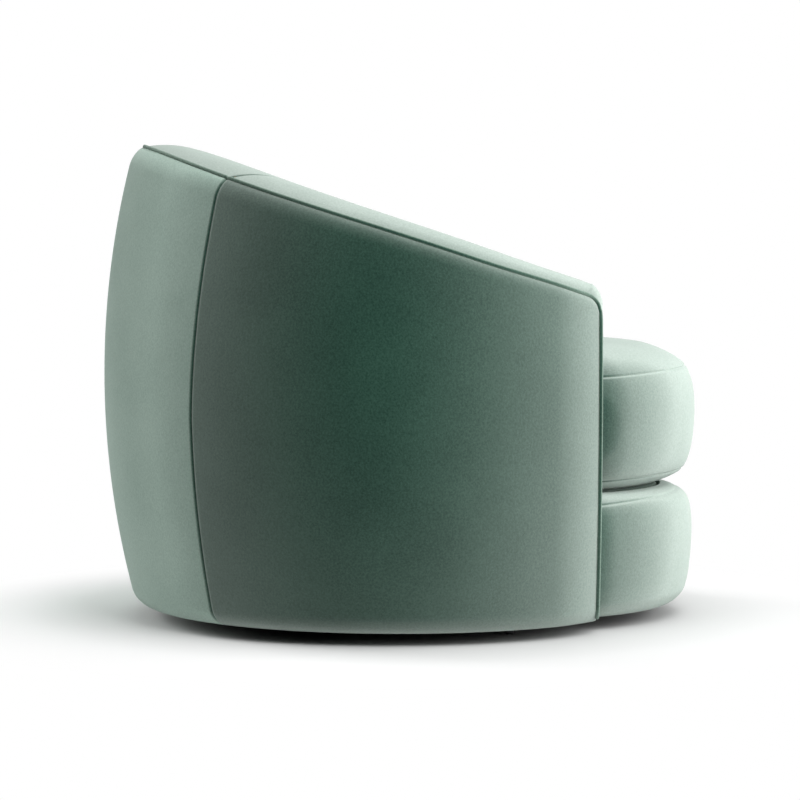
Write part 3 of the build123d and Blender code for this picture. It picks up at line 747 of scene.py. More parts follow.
def polar(radius: Any, turn: np.ndarray, height: Any, ahead: Any = 0.0) -> np.ndarray:
    """Points about an upright axis.

    Args:
        radius: Distances from the axis.
        turn: Angles from straight behind, in radians.
        height: Heights above the floor.
        ahead: Distance of the axis ahead of the swivel axis.

    Returns:
        One point for each angle, with X, Y and Z last.
    """
    across, along = radius * np.sin(turn), radius * np.cos(turn) - ahead
    return np.stack(np.broadcast_arrays(across, along, height), axis=-1)


def fade(distance: np.ndarray, width: float) -> np.ndarray:
    """A smooth fall from 1 at an edge to 0 at a width away from it.

    Args:
        distance: Distances from the edge.
        width: Distance at which the fall ends.

    Returns:
        Weights from 1 to 0.
    """
    share = np.clip(1 - distance / width, 0, 1)
    return share * share


# The chair's form


@dataclass(frozen=True)
class ShellForm:
    """The chair's round padded shell, as its CAD source measures it, in millimetres.

    Attributes:
        radius: Greatest radius of the barrel.
        waist: Height at which the barrel is widest.
        arc: Radius of the wall's upright bow.
        bottom: Height of the underside.
        bottom_roll: Radius of the roll into the underside.
        crest: Height of the crest's plane over the swivel axis.
        slope_deg: Slope of that plane.
        crest_roll: Radius of the roll into the crest.
        drop: Depth of the piping below the crest's plane.
        reach: Distance ahead of the arm fronts.
        corner: Radius of the arms' front corners.
        lip: Radius at which the cover ends under the chair.
        seam_deg: Angle of the back seams from straight behind.
        seam_lean_deg: How far those seams lean forward at the piping.
        sag: How far the piped edge sags beside the back.
        sag_span: Angles between which it sags, in radians from straight behind.
        front_lift: How far the edge lifts at the arm fronts.
        lift_span: Angles between which it lifts, in radians from straight behind.
        seat_ahead: Distance of the seat's axis ahead of the swivel axis.
        well_radius: Radius of the seat well at the deck.
        well_flare: How much wider the well is at its top.
        well_lean: How much farther back the well's middle is at its top.
        well_rise: Height of the well's top above the deck.
        deck: Height of the deck.
    """

    radius: float = 450.0
    waist: float = 364.0
    arc: float = 1304.0
    bottom: float = 17.0
    bottom_roll: float = 34.0
    crest: float = 600.0
    slope_deg: float = 18.7
    crest_roll: float = 50.0
    drop: float = 17.5
    reach: float = 284.0
    corner: float = 28.0
    lip: float = 331.0
    seam_deg: float = 48.6
    seam_lean_deg: float = 4.3
    sag: float = 4.2
    sag_span: Tuple[float, float] = (0.35, 1.83)
    front_lift: float = 3.0
    lift_span: Tuple[float, float] = (1.83, 2.13)
    seat_ahead: float = 150.0
    well_radius: float = 302.96
    well_flare: float = 41.0
    well_lean: float = 74.0
    well_rise: float = 495.0
    deck: float = 205.0

    @property
    def slope(self) -> float:
        """Rise of the crest for each millimetre towards the back."""
        return math.tan(math.radians(self.slope_deg))

    @property
    def seam(self) -> float:
        """Angle of the back seams from straight behind, in radians."""
        return math.radians(self.seam_deg)

    @property
    def corner_ahead(self) -> float:
        """Distance ahead of the middle of the arm corner's arc."""
        return self.reach - self.corner

    @property
    def corner_height(self) -> float:
        """Height of the middle of the arm corner's arc."""
        line = self.crest + self.front_lift - self.drop - self.slope * self.corner_ahead
        return line - self.corner / math.cos(math.radians(self.slope_deg))

    @property
    def corner_start(self) -> float:
        """Distance ahead at which the sloping edge runs into the arm corner's arc."""
        return self.corner_ahead + self.corner * math.sin(math.radians(self.slope_deg))

    def crest_at(self, turn: np.ndarray) -> np.ndarray:
        """Height of the crest's plane over the axis; it sags at the sides and lifts at the fronts.

        Args:
            turn: Angles from straight behind, in radians.

        Returns:
            Heights above the floor.
        """
        slack, ahead = (
            np.clip((np.abs(turn) - start) / (stop - start), 0, 1)
            for start, stop in (self.sag_span, self.lift_span)
        )
        lift = self.front_lift * ahead * ahead * (3 - 2 * ahead)
        return self.crest - self.sag * np.sin(math.pi * slack) ** 2 + lift

    def seam_at(self, share: np.ndarray) -> np.ndarray:
        """Angle of the back seams down the profile; they lean forward towards the piping.

        Args:
            share: Place along the profile, 0 at the piping and 1 at the lip.

        Returns:
            Angles from straight behind, in radians.
        """
        upper_half = np.clip(1 - np.asarray(share) / 0.5, 0, 1)
        return self.seam + math.radians(self.seam_lean_deg) * upper_half**1.2

    def profile(self, turn: np.ndarray, share: np.ndarray) -> Tuple[np.ndarray, np.ndarray]:
        """The shell's upright profile from the piping down to the lip under the chair.

        Args:
            turn: Angles from straight behind, in radians.
            share: Place along the profile, 0 at the piping and 1 at the lip.

        Returns:
            Radius and height of each point.
        """
        rise = self.slope * np.cos(turn)
        root = np.sqrt(1 + rise**2)
        hub = self.radius - self.arc
        lift = self.crest_at(turn) - self.crest_roll * root - self.waist
        half = -hub + lift * rise
        rest = hub**2 + lift**2 - (self.arc - self.crest_roll) ** 2
        roll_r = (-half + np.sqrt(half**2 - (1 + rise**2) * rest)) / (1 + rise**2)
        roll_z = self.waist + lift + rise * roll_r
        edge = np.arctan(rise) + np.arcsin(1 - self.drop / self.crest_roll / root)
        upper = np.arctan2(roll_z - self.waist, roll_r - hub)
        low_z = self.bottom + self.bottom_roll
        low_r = hub + math.sqrt((self.arc - self.bottom_roll) ** 2 - (low_z - self.waist) ** 2)
        lower = math.atan2(low_z - self.waist, low_r - hub)
        # Where the top roll, the wall, the bottom roll and the flat lip each end
        ends = (0.0, 0.10, 0.84, 0.95, 1.0)
        part = [
            np.clip((share - start) / (stop - start), 0, 1) for start, stop in zip(ends, ends[1:])
        ]
        roll_turn = edge + (upper - edge) * part[0]
        wall_turn = upper + (lower - upper) * part[1]
        foot_turn = lower + (-math.pi / 2 - lower) * part[2]
        radius = np.where(
            share <= ends[1],
            roll_r + self.crest_roll * np.cos(roll_turn),
            np.where(
                share <= ends[2],
                hub + self.arc * np.cos(wall_turn),
                np.where(
                    share <= ends[3],
                    low_r + self.bottom_roll * np.cos(foot_turn),
                    low_r + (self.lip - low_r) * part[3],
                ),
            ),
        )
        height = np.where(
            share <= ends[1],
            roll_z + self.crest_roll * np.sin(roll_turn),
            np.where(
                share <= ends[2],
                self.waist + self.arc * np.sin(wall_turn),
                np.where(
                    share <= ends[3], low_z + self.bottom_roll * np.sin(foot_turn), self.bottom
                ),
            ),
        )
        return radius, height

    def well(self, height: np.ndarray) -> Tuple[np.ndarray, np.ndarray]:
        """The seat well at a height.

        Args:
            height: Heights above the floor.

        Returns:
            How far the well's middle lies ahead, and its radius.
        """
        share = (np.asarray(height) - self.deck) / self.well_rise
        return self.seat_ahead - share * self.well_lean, self.well_radius + share * self.well_flare

    def well_side(self, ahead: np.ndarray, height: np.ndarray) -> np.ndarray:
        """Distance of the well's wall from the middle line.

        Args:
            ahead: Distances ahead of the swivel axis.
            height: Heights above the floor.

        Returns:
            Distances to the side.
        """
        middle, radius = self.well(height)
        return np.sqrt(np.maximum(radius**2 - (ahead - middle) ** 2, 0.0))

    def well_edge(self, turn: np.ndarray) -> np.ndarray:
        """Points where the well meets the plane of the piping.

        Args:
            turn: Angles about the well's own middle, from straight behind, in radians.

        Returns:
            Points on the positive X side.
        """
        height = np.full_like(turn, self.crest)
        for _ in range(30):
            middle, radius = self.well(height)
            height = self.crest_at(turn) - self.drop + self.slope * (radius * np.cos(turn) - middle)
        middle, radius = self.well(height)
        return polar(radius, turn, height, middle)


FORM = ShellForm()
SEAT_AXIS = np.array([0.0, -FORM.seat_ahead, 0.0])


def from_seat_axis(points: np.ndarray) -> Tuple[np.ndarray, np.ndarray]:
    """Where points lie about the seat's upright axis.

    Args:
        points: Points in millimetres, with X, Y and Z last.

    Returns:
        Level unit directions away from the axis, shaped as the points, and distances from it.
    """
    out = (points - SEAT_AXIS) * LEVEL
    radius = np.linalg.norm(out, axis=-1)
    return out / np.maximum(radius, 1e-6)[..., None], radius


@dataclass
class Chair:
    """The upholstered body that swivels.

    Attributes:
        form: The shell's sizes.
        panel_depth: Padding depth of the outer panels.
        top_tuck: How far a panel draws in at its piped edge, and over what width.
        seam_tuck: How far a panel draws in at a plain seam, and over what width.
        front_tuck: How far an arm panel rolls in at the arm's front, and over what width.
        band_depth: Thickness of the top band's sheet.
        band_rise: Height of the band's dome at the back.
        band_swell: Extra height of the dome beside the back.
        band_fall: How much lower the dome is just behind the arm corner.
        corner_rise: Height of the dome over the arm corner.
        facing_rise: Greatest swell of an arm's front.
        band_peak: Place of the dome's top, from 0 at the piping to 1 at the seat well.
        band_seam: Depth and width of the dip at the band's seam.
        facing_inner: How near the middle line an arm's front reaches below the deck.
        facing_blend: Height over which the arm's front widens to that.
        pad_depth: Thickness of the seat well's lining.
        pad_seam: Place of the lining's seam, from 0 behind to 1 at the arm's front.
        pad_turn_deg: Angle from straight behind that the lining's top edge spans.
        pad_below: How far the lining runs down behind the deck.
        pad_run: Rough length of the lining round one half of the seat, and down it.
        pad_fade: Width over which the lining draws in at its seam, and at its top edge.
        pad_swell: How far the lining swells between its seams.
        pad_sunk: How far its drawn-in edges lie behind the well's wall.
        front_gap: How far inner pieces stay behind the arm fronts.
        deck_gap: Space between the deck and the well's wall.
        deck_levels: Share of the deck's outline, and depth below its top, from bottom to top.
        rail_inner: Radius of the front rail's inner side, which the deck reaches.
        rail_outline: Radius and height of the front rail's section.
        rail_radius: Greatest radius of the front rail.
        rail_tuck: How far the rail draws in beside the arms, and the angle at which that ends.
        rail_seam: Height of the rail's seam beside the arms, and at the front.
        rail_seam_reach: Least radius of the rail's seam.
        lining_hole: Radius of the hole in the lining under the chair.
        lining_tongue: Radius of its tongue under the front rail.
        lining_faces: Heights of its upper and lower face.
        cord_radius: Radius of the piping.
        cord_stand_off: How far the piping stands out of its seam.
        cord_foot: How far above the underside the piping ends.
    """

    form: ShellForm = FORM
    panel_depth: float = 12.0
    top_tuck: Tuple[float, float] = (2.0, 14.0)
    seam_tuck: Tuple[float, float] = (2.6, 4.5)
    front_tuck: Tuple[float, float] = (14.0, 84.0)
    band_depth: float = 5.0
    band_rise: float = 20.0
    band_swell: float = 2.5
    band_fall: float = 4.0
    corner_rise: float = 18.0
    facing_rise: float = 6.0
    band_peak: float = 0.66
    band_seam: Tuple[float, float] = (2.0, 8.0)
    facing_inner: float = 240.0
    facing_blend: float = 14.0
    pad_depth: float = 10.0
    pad_seam: float = 0.36
    pad_turn_deg: float = 121.0
    pad_below: float = 18.0
    pad_run: Tuple[float, float] = (700.0, 400.0)
    pad_fade: Tuple[float, float] = (14.0, 20.0)
    pad_swell: float = 3.0
    pad_sunk: float = 4.0
    front_gap: float = 2.0
    deck_gap: float = 8.0
    deck_levels: Tuple[Tuple[float, float], ...] = (
        (0.97, 20.0), (1.0, 15.0), (1.0, 6.0), (0.98, 1.5), (0.9, 0.5),
    )
    rail_inner: float = 242.0
    rail_outline: Tuple[Tuple[float, float], ...] = (
        (246, 22), (252, 19), (262, 20), (274, 27), (285, 40), (290.5, 62), (294, 92),
        (296, 127), (295.5, 150), (292.5, 172), (287.5, 184), (277, 193), (262, 199),
        (247, 201),
    )
    rail_radius: float = 296.0
    rail_tuck: Tuple[float, float] = (8.0, 34.0)
    rail_seam: Tuple[float, float] = (186.0, 194.0)
    rail_seam_reach: float = 258.0
    lining_hole: float = 150.5
    lining_tongue: float = 243.0
    lining_faces: Tuple[float, float] = (33.0, 31.8)
    cord_radius: float = 3.0
    cord_stand_off: float = 1.6
    cord_foot: float = 6.0

    def keep(
        self, piece: bpy.types.Object, finish: Finish, slot: str, *nodes: str
    ) -> bpy.types.Object:
        """Dresses a piece, sets it on the swivelling body and notes what it stands for.

        Args:
            piece: The visual piece.
            finish: Its finish.
            slot: The record's material slot; not used.
            *nodes: CAD nodes that it stands for.

        Returns:
            The piece.
        """
        piece.data.materials.append(finish.material())
        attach(piece, Body.CHAIR.value)
        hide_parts(*nodes)
        LOG.info("%s stands for %s", piece.name, ", ".join(nodes))
        return piece

    def tucked(self, grid: np.ndarray, gaps: Sequence[np.ndarray]) -> np.ndarray:
        """Draws a panel in at its piped top edge and its plain seams.

        Args:
            grid: Panel surface, shaped (columns, points down the profile, 3).
            gaps: Angle of each grid point from each plain seam, in radians.

        Returns:
            The surface with its edges drawn in.
        """
        normals = grid_normals(grid, grid * LEVEL)
        runs = np.linalg.norm(np.diff(grid, axis=1), axis=2)
        down = np.concatenate([np.zeros((len(grid), 1)), np.cumsum(runs, axis=1)], axis=1)
        depth = self.top_tuck[0] * fade(down, self.top_tuck[1])
        most, width = self.seam_tuck
        for gap in gaps:
            depth = depth + most * fade(np.abs(gap) * self.form.radius, width)
        return grid - normals * depth[..., None]

    def rear_grid(self) -> np.ndarray:
        """Surface of the outer back panel.

        Returns:
            Points, shaped (columns, points down the profile, 3), from the right seam leftwards.
        """
        edge = np.linspace(0, 1, 12)[1:] * 0.03
        parts = np.concatenate([[-1], -1 + edge, np.linspace(-0.96, 0.96, 70), 1 - edge[::-1], [1]])
        parts = np.unique(parts)
        share = self.down_shares()
        seam = self.form.seam_at(share)
        turns = parts[:, None] * seam[None, :]
        radius, height = self.form.profile(turns, np.repeat(share[None, :], len(parts), axis=0))
        return self.tucked(polar(radius, turns, height), (turns + seam, turns - seam))

    @staticmethod
    def down_shares() -> np.ndarray:
        """Places of the grid's points down the profile, close together at the piped edge.

        Returns:
            Shares from 0 to 1.
        """
        return np.concatenate([np.linspace(0, 0.1, 18), np.linspace(0.1, 1, 90)[1:]])

    def side_grid(self, side: Side) -> np.ndarray:
        """Surface of an outer arm panel.

        Args:
            side: Which arm.

        Returns:
            Points, shaped (columns, points down the profile, 3), from the back seam forwards.
        """
        form = self.form
        ahead_share = np.concatenate(
            [
                np.linspace(0, 0.03, 12),
                np.linspace(0.03, 0.84, 74)[1:],
                np.linspace(0.84, 1, 44)[1:],
            ]
        )
        share = self.down_shares()
        fine = np.linspace(0, 1, 900)
        seam = form.seam_at(fine)
        # First guess of the arm front's angle, and how far the panel slants there
        guess, slant = math.radians(132), math.radians(40)
        columns, gaps = [], []
        for part in ahead_share:
            turn = seam + part * (guess - seam)
            for _ in range(8):
                radius, height = form.profile(turn, fine)
                share_ahead = form.reach / np.maximum(radius, form.reach)
                last = math.pi - np.arccos(np.clip(share_ahead, -1, 1))
                turn = seam + part * (last - seam)
            radius, height = form.profile(turn, fine)
            ahead = -radius * np.cos(turn)
            over = np.clip(ahead - form.corner_ahead, 0, form.corner)
            arc_top = form.corner_height + np.sqrt(np.maximum(form.corner**2 - over**2, 0))
            inside = (ahead < form.corner_start) | (height <= arc_top + 1e-6)
            start = fine[np.argmax(inside)]
            places = start + (1 - start) * share
            turn_now = np.interp(places, fine, turn)
            radius, height = np.interp(places, fine, radius), np.interp(places, fine, height)
            columns.append(polar(radius, turn_now, height))
            gaps.append(turn_now - form.seam_at(places))
        grid = self.tucked(np.array(columns), (np.array(gaps),))
        to_front = (form.reach + grid[..., 1]) / math.cos(slant)
        grid[..., 0] -= self.front_tuck[0] * fade(np.maximum(to_front, 0), self.front_tuck[1])
        grid[..., 0] *= side.value
        return grid

    def edge_path(self, side: Side) -> np.ndarray:
        """The seam line that the piping covers, from the back's middle to an arm's foot.

        Args:
            side: Which half of the chair.

        Returns:
            Points along the line.
        """
        rear = self.rear_grid()[:, 0]
        half = rear[rear[:, 0] * side.value >= -1e-6]
        half = half[np.argsort(np.abs(half[:, 0]))]
        sides = self.side_grid(side)
        front = sides[-1]
        stop = int(np.argmax(front[:, 2] < self.form.bottom + self.cord_foot))
        return np.concatenate([half, sides[1:, 0], front[1:stop]])

    def outer_panels(self) -> None:
        """Builds the back panel and the two arm panels."""
        rear = self.rear_grid()
        piece = thick_sheet("velvet_back_panel", rear, rear * LEVEL, self.panel_depth)
        self.keep(piece, BACK_VELVET_PAINTED_PALER, "velvet", "rear_outer_panel")
        for side in Side:
            grid = self.side_grid(side)
            word = side.name.lower()
            piece = thick_sheet(f"velvet_{word}_arm_panel", grid, grid * LEVEL, self.panel_depth)
            self.keep(piece, ARM_VELVET, "velvet", f"{word}_outer_panel")

    def band_grid(self, side: Side) -> Tuple[np.ndarray, np.ndarray, int]:
        """Surface of the top band over one half of the chair.

        Args:
            side: Which half.

        Returns:
            Points, shaped (along, across, 3), the directions out of the band, and its seam's place.
        """
        form = self.form
        outer = self.edge_path(side)
        turn = np.arctan2(np.abs(outer[:, 0]), outer[:, 1])
        ahead = -outer[:, 1]
        last = int(np.argmax(ahead >= form.corner_start - 0.5))
        top = np.minimum(turn / turn[last], 1.0)
        middle, radius = form.well(np.array([form.corner_height + form.corner]))
        stop = math.pi - math.acos(float((form.corner_start - middle[0]) / radius[0]))
        inner = form.well_edge(top * stop)
        across_front = form.well_side(ahead, outer[:, 2])
        low = np.clip((form.deck - outer[:, 2]) / self.facing_blend, 0, 1)
        across_front -= low * np.maximum(across_front - self.facing_inner, 0)
        front = np.arange(len(outer)) > last
        inner[front] = np.stack([across_front, outer[:, 1], outer[:, 2]], axis=1)[front]
        join = int(np.argmax(front))
        reach = 12
        slide = np.linspace(0, 1, reach)
        shift = inner[join] - inner[join - 1]
        inner[join:join + reach] -= (1 - slide)[:, None] * shift * 0.5
        inner[join - reach:join] += slide[:, None] * shift * 0.5
        inner[:, 0] *= side.value
        width = np.linalg.norm(outer - inner, axis=1)
        up = math.radians(90 - form.slope_deg)
        bend = np.arctan2(outer[:, 2] - form.corner_height, ahead - form.corner_ahead)
        bend = np.where(front, np.clip(bend, 0, up), up)
        out = np.stack([np.zeros(len(outer)), -np.cos(bend), np.sin(bend)], axis=1)
        level = np.clip(bend / up, 0, 1)
        rear_rise = self.band_rise + self.band_swell * np.sin(top * math.pi) ** 2
        rise = level * np.where(front, self.corner_rise, rear_rise - self.band_fall * top**4)
        rise = rise + (1 - level) * np.minimum(self.facing_rise, 0.12 * width)
        across = 0.5 - 0.5 * np.cos(np.linspace(0, math.pi, 33))
        dome = np.where(
            across < self.band_peak,
            1 - np.abs(1 - across / self.band_peak) ** 2.3,
            1 - np.clip((across - self.band_peak) / (1 - self.band_peak), 0, 1) ** 2.2,
        )
        weights = across[None, :, None]
        grid = outer[:, None, :] * (1 - weights) + inner[:, None, :] * weights
        grid = grid + out[:, None, :] * (rise[:, None] * dome[None, :])[..., None]
        seam_at = int(np.argmin(np.abs(turn[:last] - form.seam_at(np.array(0.0)))))
        steps = run_lengths(outer)
        dip = self.band_seam[0] * fade(np.abs(steps - steps[seam_at]), self.band_seam[1])
        grid = grid - out[:, None, :] * (dip[:, None] * dome[None, :])[..., None]
        return grid, np.repeat(out[:, None, :], len(across), axis=1), seam_at

    def bands(self) -> None:
        """Builds the top band over the back and over each arm."""
        halves = {side: self.band_grid(side) for side in Side}
        for side, (grid, out, seam_at) in halves.items():
            word = side.name.lower()
            piece = thick_sheet(
                f"velvet_{word}_arm_band", grid[seam_at:], out[seam_at:], self.band_depth
            )
            self.keep(piece, VELVET, "velvet", f"{word}_arm_band")
        right, right_out, at = halves[Side.RIGHT]
        left, left_out, left_at = halves[Side.LEFT]
        grid = np.concatenate([right[at:0:-1], left[:left_at + 1]])
        out = np.concatenate([right_out[at:0:-1], left_out[:left_at + 1]])
        piece = thick_sheet("velvet_back_band", grid, out, self.band_depth)
        self.keep(piece, VELVET, "velvet", "back_top_band")

    def piping(self) -> None:
        """Builds the piping round the band's outer edge and down the arm fronts."""
        right = self.edge_path(Side.RIGHT)
        left = self.edge_path(Side.LEFT)
        path = np.concatenate([right[:0:-1], left])
        path = resampled(path, np.linspace(0, run_lengths(path)[-1], 900))
        away = path * LEVEL
        away /= np.linalg.norm(away, axis=1, keepdims=True)
        cord = tube("velvet_piping", path + away * self.cord_stand_off, self.cord_radius)
        self.keep(cord, PIPING_VELVET_PAINTED_DARKER, "piping_velvet", "outer_piping")

    def inner_pads(self) -> None:
        """Builds the lining of the seat well: the back and the two arms."""
        form = self.form
        shares = np.concatenate(
            [np.linspace(0, self.pad_seam, 40), np.linspace(self.pad_seam, 1, 64)[1:]]
        )
        lower = form.deck - self.pad_below
        down = np.concatenate([np.linspace(0, 0.08, 10), np.linspace(0.08, 1, 50)[1:]])
        grid = np.zeros((len(shares), len(down), 3))
        for at, share in enumerate(shares):
            top = form.well_edge(np.array([share * math.radians(self.pad_turn_deg)]))[0, 2]
            height = top - 1.0 + (lower - top) * down
            middle, radius = form.well(height)
            ahead_limit = np.clip((form.reach - self.front_gap - middle) / radius, -1, 1)
            turn = share * (math.pi - np.arccos(ahead_limit))
            grid[at] = polar(radius, turn, height, middle)
        normals = grid_normals(grid, -from_seat_axis(grid)[0])
        at_seam = fade(np.abs(shares - self.pad_seam) * self.pad_run[0], self.pad_fade[0])
        at_top = fade(down * self.pad_run[1], self.pad_fade[1])
        swell = 1.0 - at_seam[:, None] - at_top[None, :]
        grid = grid + normals * (swell * self.pad_swell - self.pad_sunk)[..., None]
        seam = int(np.argmin(np.abs(shares - self.pad_seam)))
        for side in Side:
            word = side.name.lower()
            turned = grid * np.array([side.value, 1.0, 1.0])
            facing = normals * np.array([side.value, 1.0, 1.0])
            piece = thick_sheet(
                f"velvet_{word}_inner_arm", turned[seam:], facing[seam:], self.pad_depth
            )
            self.keep(piece, VELVET, "velvet", f"{word}_inner_arm_pad")
        flip = np.array([-1.0, 1.0, 1.0])
        back = np.concatenate([(grid * flip)[seam:0:-1], grid[:seam + 1]])
        facing = np.concatenate([(normals * flip)[seam:0:-1], normals[:seam + 1]])
        piece = thick_sheet("velvet_inner_back", back, facing, self.pad_depth)
        self.keep(piece, VELVET, "velvet", "inner_back_pad", "back_webbing")

    def deck_and_lining(self) -> None:
        """Builds the cloth-covered deck under the cushion and the lining under the chair."""
        form = self.form
        turns = math.pi - np.linspace(0, 2 * math.pi, 180, endpoint=False)
        ahead = -np.cos(turns)
        front_limit = form.reach - self.front_gap - form.seat_ahead
        front_limit = np.maximum(front_limit / np.maximum(ahead, 1e-6), self.rail_inner)
        rim = np.minimum(form.well_radius - self.deck_gap, front_limit)
        rings = [
            polar(part * rim, turns, form.deck - under, form.seat_ahead)
            for part, under in self.deck_levels
        ]
        piece = closed_loops("deck_cloth_pad", np.array(rings))
        self.keep(piece, DECK_CLOTH, "foam", "deck_pad")
        sideways = form.seat_ahead * np.sin(turns)
        tongue = form.seat_ahead * ahead + np.sqrt(self.lining_tongue**2 - sideways**2)
        outer = np.where(tongue * ahead > form.reach, tongue, form.lip - 1.0)
        hole = self.lining_hole
        upper, lower = self.lining_faces
        corners = ((hole, upper), (outer, upper), (outer, lower), (hole, lower), (hole, upper))
        rows = np.array([polar(radius, turns, height) for radius, height in corners])
        faces = grid_faces(len(corners), len(turns), wrap=True)
        piece = mesh_object("bottom_lining", rows.reshape(-1, 3), faces)
        tidy_normals(piece)
        self.keep(piece, LINING, "lining", "dust_cover")

    def front_rail(self) -> None:
        """Builds the tightly padded roll under the cushion, with its top seam drawn in."""
        form = self.form
        smooth = rounded(np.array(self.rail_outline), 230, 40)
        stop = math.acos((form.reach + 1.0 - form.seat_ahead) / self.rail_radius)
        turns = math.pi - np.linspace(-stop, stop, 150)[:, None]
        loops = polar(smooth[:, 0], turns, smooth[:, 1], form.seat_ahead)
        loops = loops - seat_tuck(loops, *self.rail_tuck)
        loops[..., 1] = np.minimum(loops[..., 1], -form.reach - 1.0)
        piece = closed_loops("velvet_front_rail", loops)
        groove(piece, self.rail_seam, self.rail_seam_reach)
        self.keep(piece, VELVET, "velvet", "front_rail_cover", "front_rail_foam")

    def build(self) -> None:
        """Builds and dresses every upholstered piece of the swivelling body."""
        self.outer_panels()
        self.bands()
        self.piping()
        self.inner_pads()
        self.deck_and_lining()
        self.front_rail()


@dataclass
class SeatCushion:
    """The loose round cushion.

    Attributes:
        ahead: Distance of its axis ahead of the swivel axis.
        profile: Radius and height of its outline, from the bottom's middle to the crown.
        seams: Height of each seam beside the arms and at the front.
        seam_reach: Least radius of the seams.
        tuck: How far it draws in beside the arms, and the angle at which that ends.
        give: Farthest that its cloth may settle.
    """

    ahead: float = FORM.seat_ahead
    profile: Tuple[Tuple[float, float], ...] = (
        (0, 205.6), (120, 205.6), (240, 205.8), (256, 207), (269, 212), (278, 219), (286, 229),
        (292, 244), (297, 268), (299.5, 296), (300, 321), (298, 346), (294, 362), (290, 373),
        (284, 383), (274, 393), (262, 400), (246, 406), (228, 411), (190, 415.5), (150, 418.5),
        (90, 422), (40, 423.6), (0, 424),
    )
    seams: Tuple[Tuple[float, float], ...] = ((372.0, 380.0), (220.0, 226.0))
    seam_reach: float = 240.0
    tuck: Tuple[float, float] = (17.0, 38.0)
    give: float = 3.0

    def build(self) -> None:
        """Builds the cushion, lets its cloth settle and draws in its seams."""
        smooth = rounded(np.array(self.profile), 190, 10)
        lengths = run_lengths(smooth)
        # Finer rings within this height of a seam and beyond this radius
        seam_zone, rim = 9.0, 200.0
        near = [np.abs(smooth[:, 1] - sum(seam) / 2) < seam_zone for seam in self.seams]
        fine = (near[0] | near[1]) & (smooth[:, 0] > rim)
        places = [
            np.linspace(start, stop, 6 if close else 2)[:-1]
            for start, stop, close in zip(lengths, lengths[1:], fine)
        ]
        smooth = resampled(smooth, np.concatenate(places + [lengths[-1:]]))
        piece = spun("velvet_seat_cushion", smooth, (0.0, -self.ahead), 300)
        points = points_of(piece)
        move_points(piece, points - seat_tuck(points, *self.tuck))
        soften(piece, self.give)
        for seam in self.seams:
            groove(piece, seam, self.seam_reach)
        piece.data.materials.append(VELVET.material())
        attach(piece, Body.CUSHION.value)
        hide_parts("seat_cushion_cover", "seat_cushion_core")
        LOG.info("%s stands for the cushion's cover and core", piece.name)


def seat_tuck(points: np.ndarray, most: float, end_deg: float) -> np.ndarray:
    """How far the cushion or the front rail draws in beside the fronts of the arms.

    Args:
        points: Points in millimetres, with X, Y and Z last.
        most: Deepest draw, in millimetres.
        end_deg: Angle from straight sideways at which the draw ends.

    Returns:
        Steps away from the seat's axis, shaped as the points.
    """
    out, radius = from_seat_axis(points)
    turn = np.degrees(np.arctan2(-out[..., 1], np.abs(out[..., 0])))
    # Angles at which the draw starts, has grown and is deepest, and radii between which it grows
    start, grown, deepest, inner, outer = 2.0, 24.0, 25.0, 150.0, 240.0
    front = np.clip((end_deg - turn) / (end_deg - deepest), 0, 1) ** 2
    rear = np.clip((turn - start) / (grown - start), 0, 1)
    beyond = np.clip((radius - inner) / (outer - inner), 0, 1)
    return out * (most * front * rear * rear * (3 - 2 * rear) * beyond)[..., None]


def soften(piece: bpy.types.Object, cap: float) -> None:
    """Lets a padded piece's cloth settle under its stuffing, and keeps it near its form.

    Args:
        piece: Closed mesh object.
        cap: Farthest that any point may move, in millimetres.
    """
    scene = bpy.context.scene
    rest = points_of(piece)
    cloth = piece.modifiers.new("stuffing", "CLOTH")
    cloth.settings.quality = 5
    cloth.settings.mass = 0.4
    cloth.settings.tension_stiffness = 18.0
    cloth.settings.compression_stiffness = 18.0
    cloth.settings.bending_stiffness = 0.6
    cloth.settings.use_pressure = True
    cloth.settings.uniform_pressure_force = 4.0
    cloth.settings.effector_weights.gravity = 0.0
    cloth.collision_settings.use_self_collision = False
    cloth.point_cache.frame_start = 1
    cloth.point_cache.frame_end = SETTLE_FRAMES
    for number in range(1, SETTLE_FRAMES + 1):
        scene.frame_set(number)
    evaluated = piece.evaluated_get(bpy.context.evaluated_depsgraph_get())
    moved = points_of(evaluated)
    piece.modifiers.remove(cloth)
    scene.frame_set(1)
    step = moved - rest
    length = np.linalg.norm(step, axis=1, keepdims=True)
    step = step * np.minimum(1.0, cap / np.maximum(length, 1e-6))
    move_points(piece, rest + step)
    LOG.info("%s settled by up to %.2f mm", piece.name, float(length.max()))


def groove(piece: bpy.types.Object, heights: Tuple[float, float], reach: float) -> None:
    """Draws a seam into a round piece.

    Args:
        piece: Mesh object about the seat's axis.
        heights: Height of the seam beside the arms and at the front, in millimetres.
        reach: Points nearer the axis than this are left alone.
    """
    points = points_of(piece)
    out, radius = from_seat_axis(points)
    ahead = np.clip(-out[:, 1], 0.5, 1.0) * 2 - 1
    height = heights[0] + (heights[1] - heights[0]) * ahead
    weight = np.exp(-(((points[:, 2] - height) / SEAM_WIDTH) ** 2)) * (radius > reach)
    move_points(piece, points - out * (weight * SEAM_DEPTH)[:, None])


@dataclass
class Mechanism:
    """The CAD pieces that stay as they are: base, bearing, frame and fasteners."""

    finishes: Dict[str, Finish] = field(default_factory=lambda: dict(CAD_FINISHES))

    def dress(self) -> None:
        """Gives every shown CAD piece its finish."""
        slots = {row["node"]: row["material_slot"] for row in frame["record"]["subparts"]}
        for name, node in frame["nodes"].items():
            if node.hide_render:
                continue
            finish = self.finishes[slots[name]]
            node.data.materials.clear()
            node.data.materials.append(finish.material())
            LOG.info("%s is %s", name, finish.name)


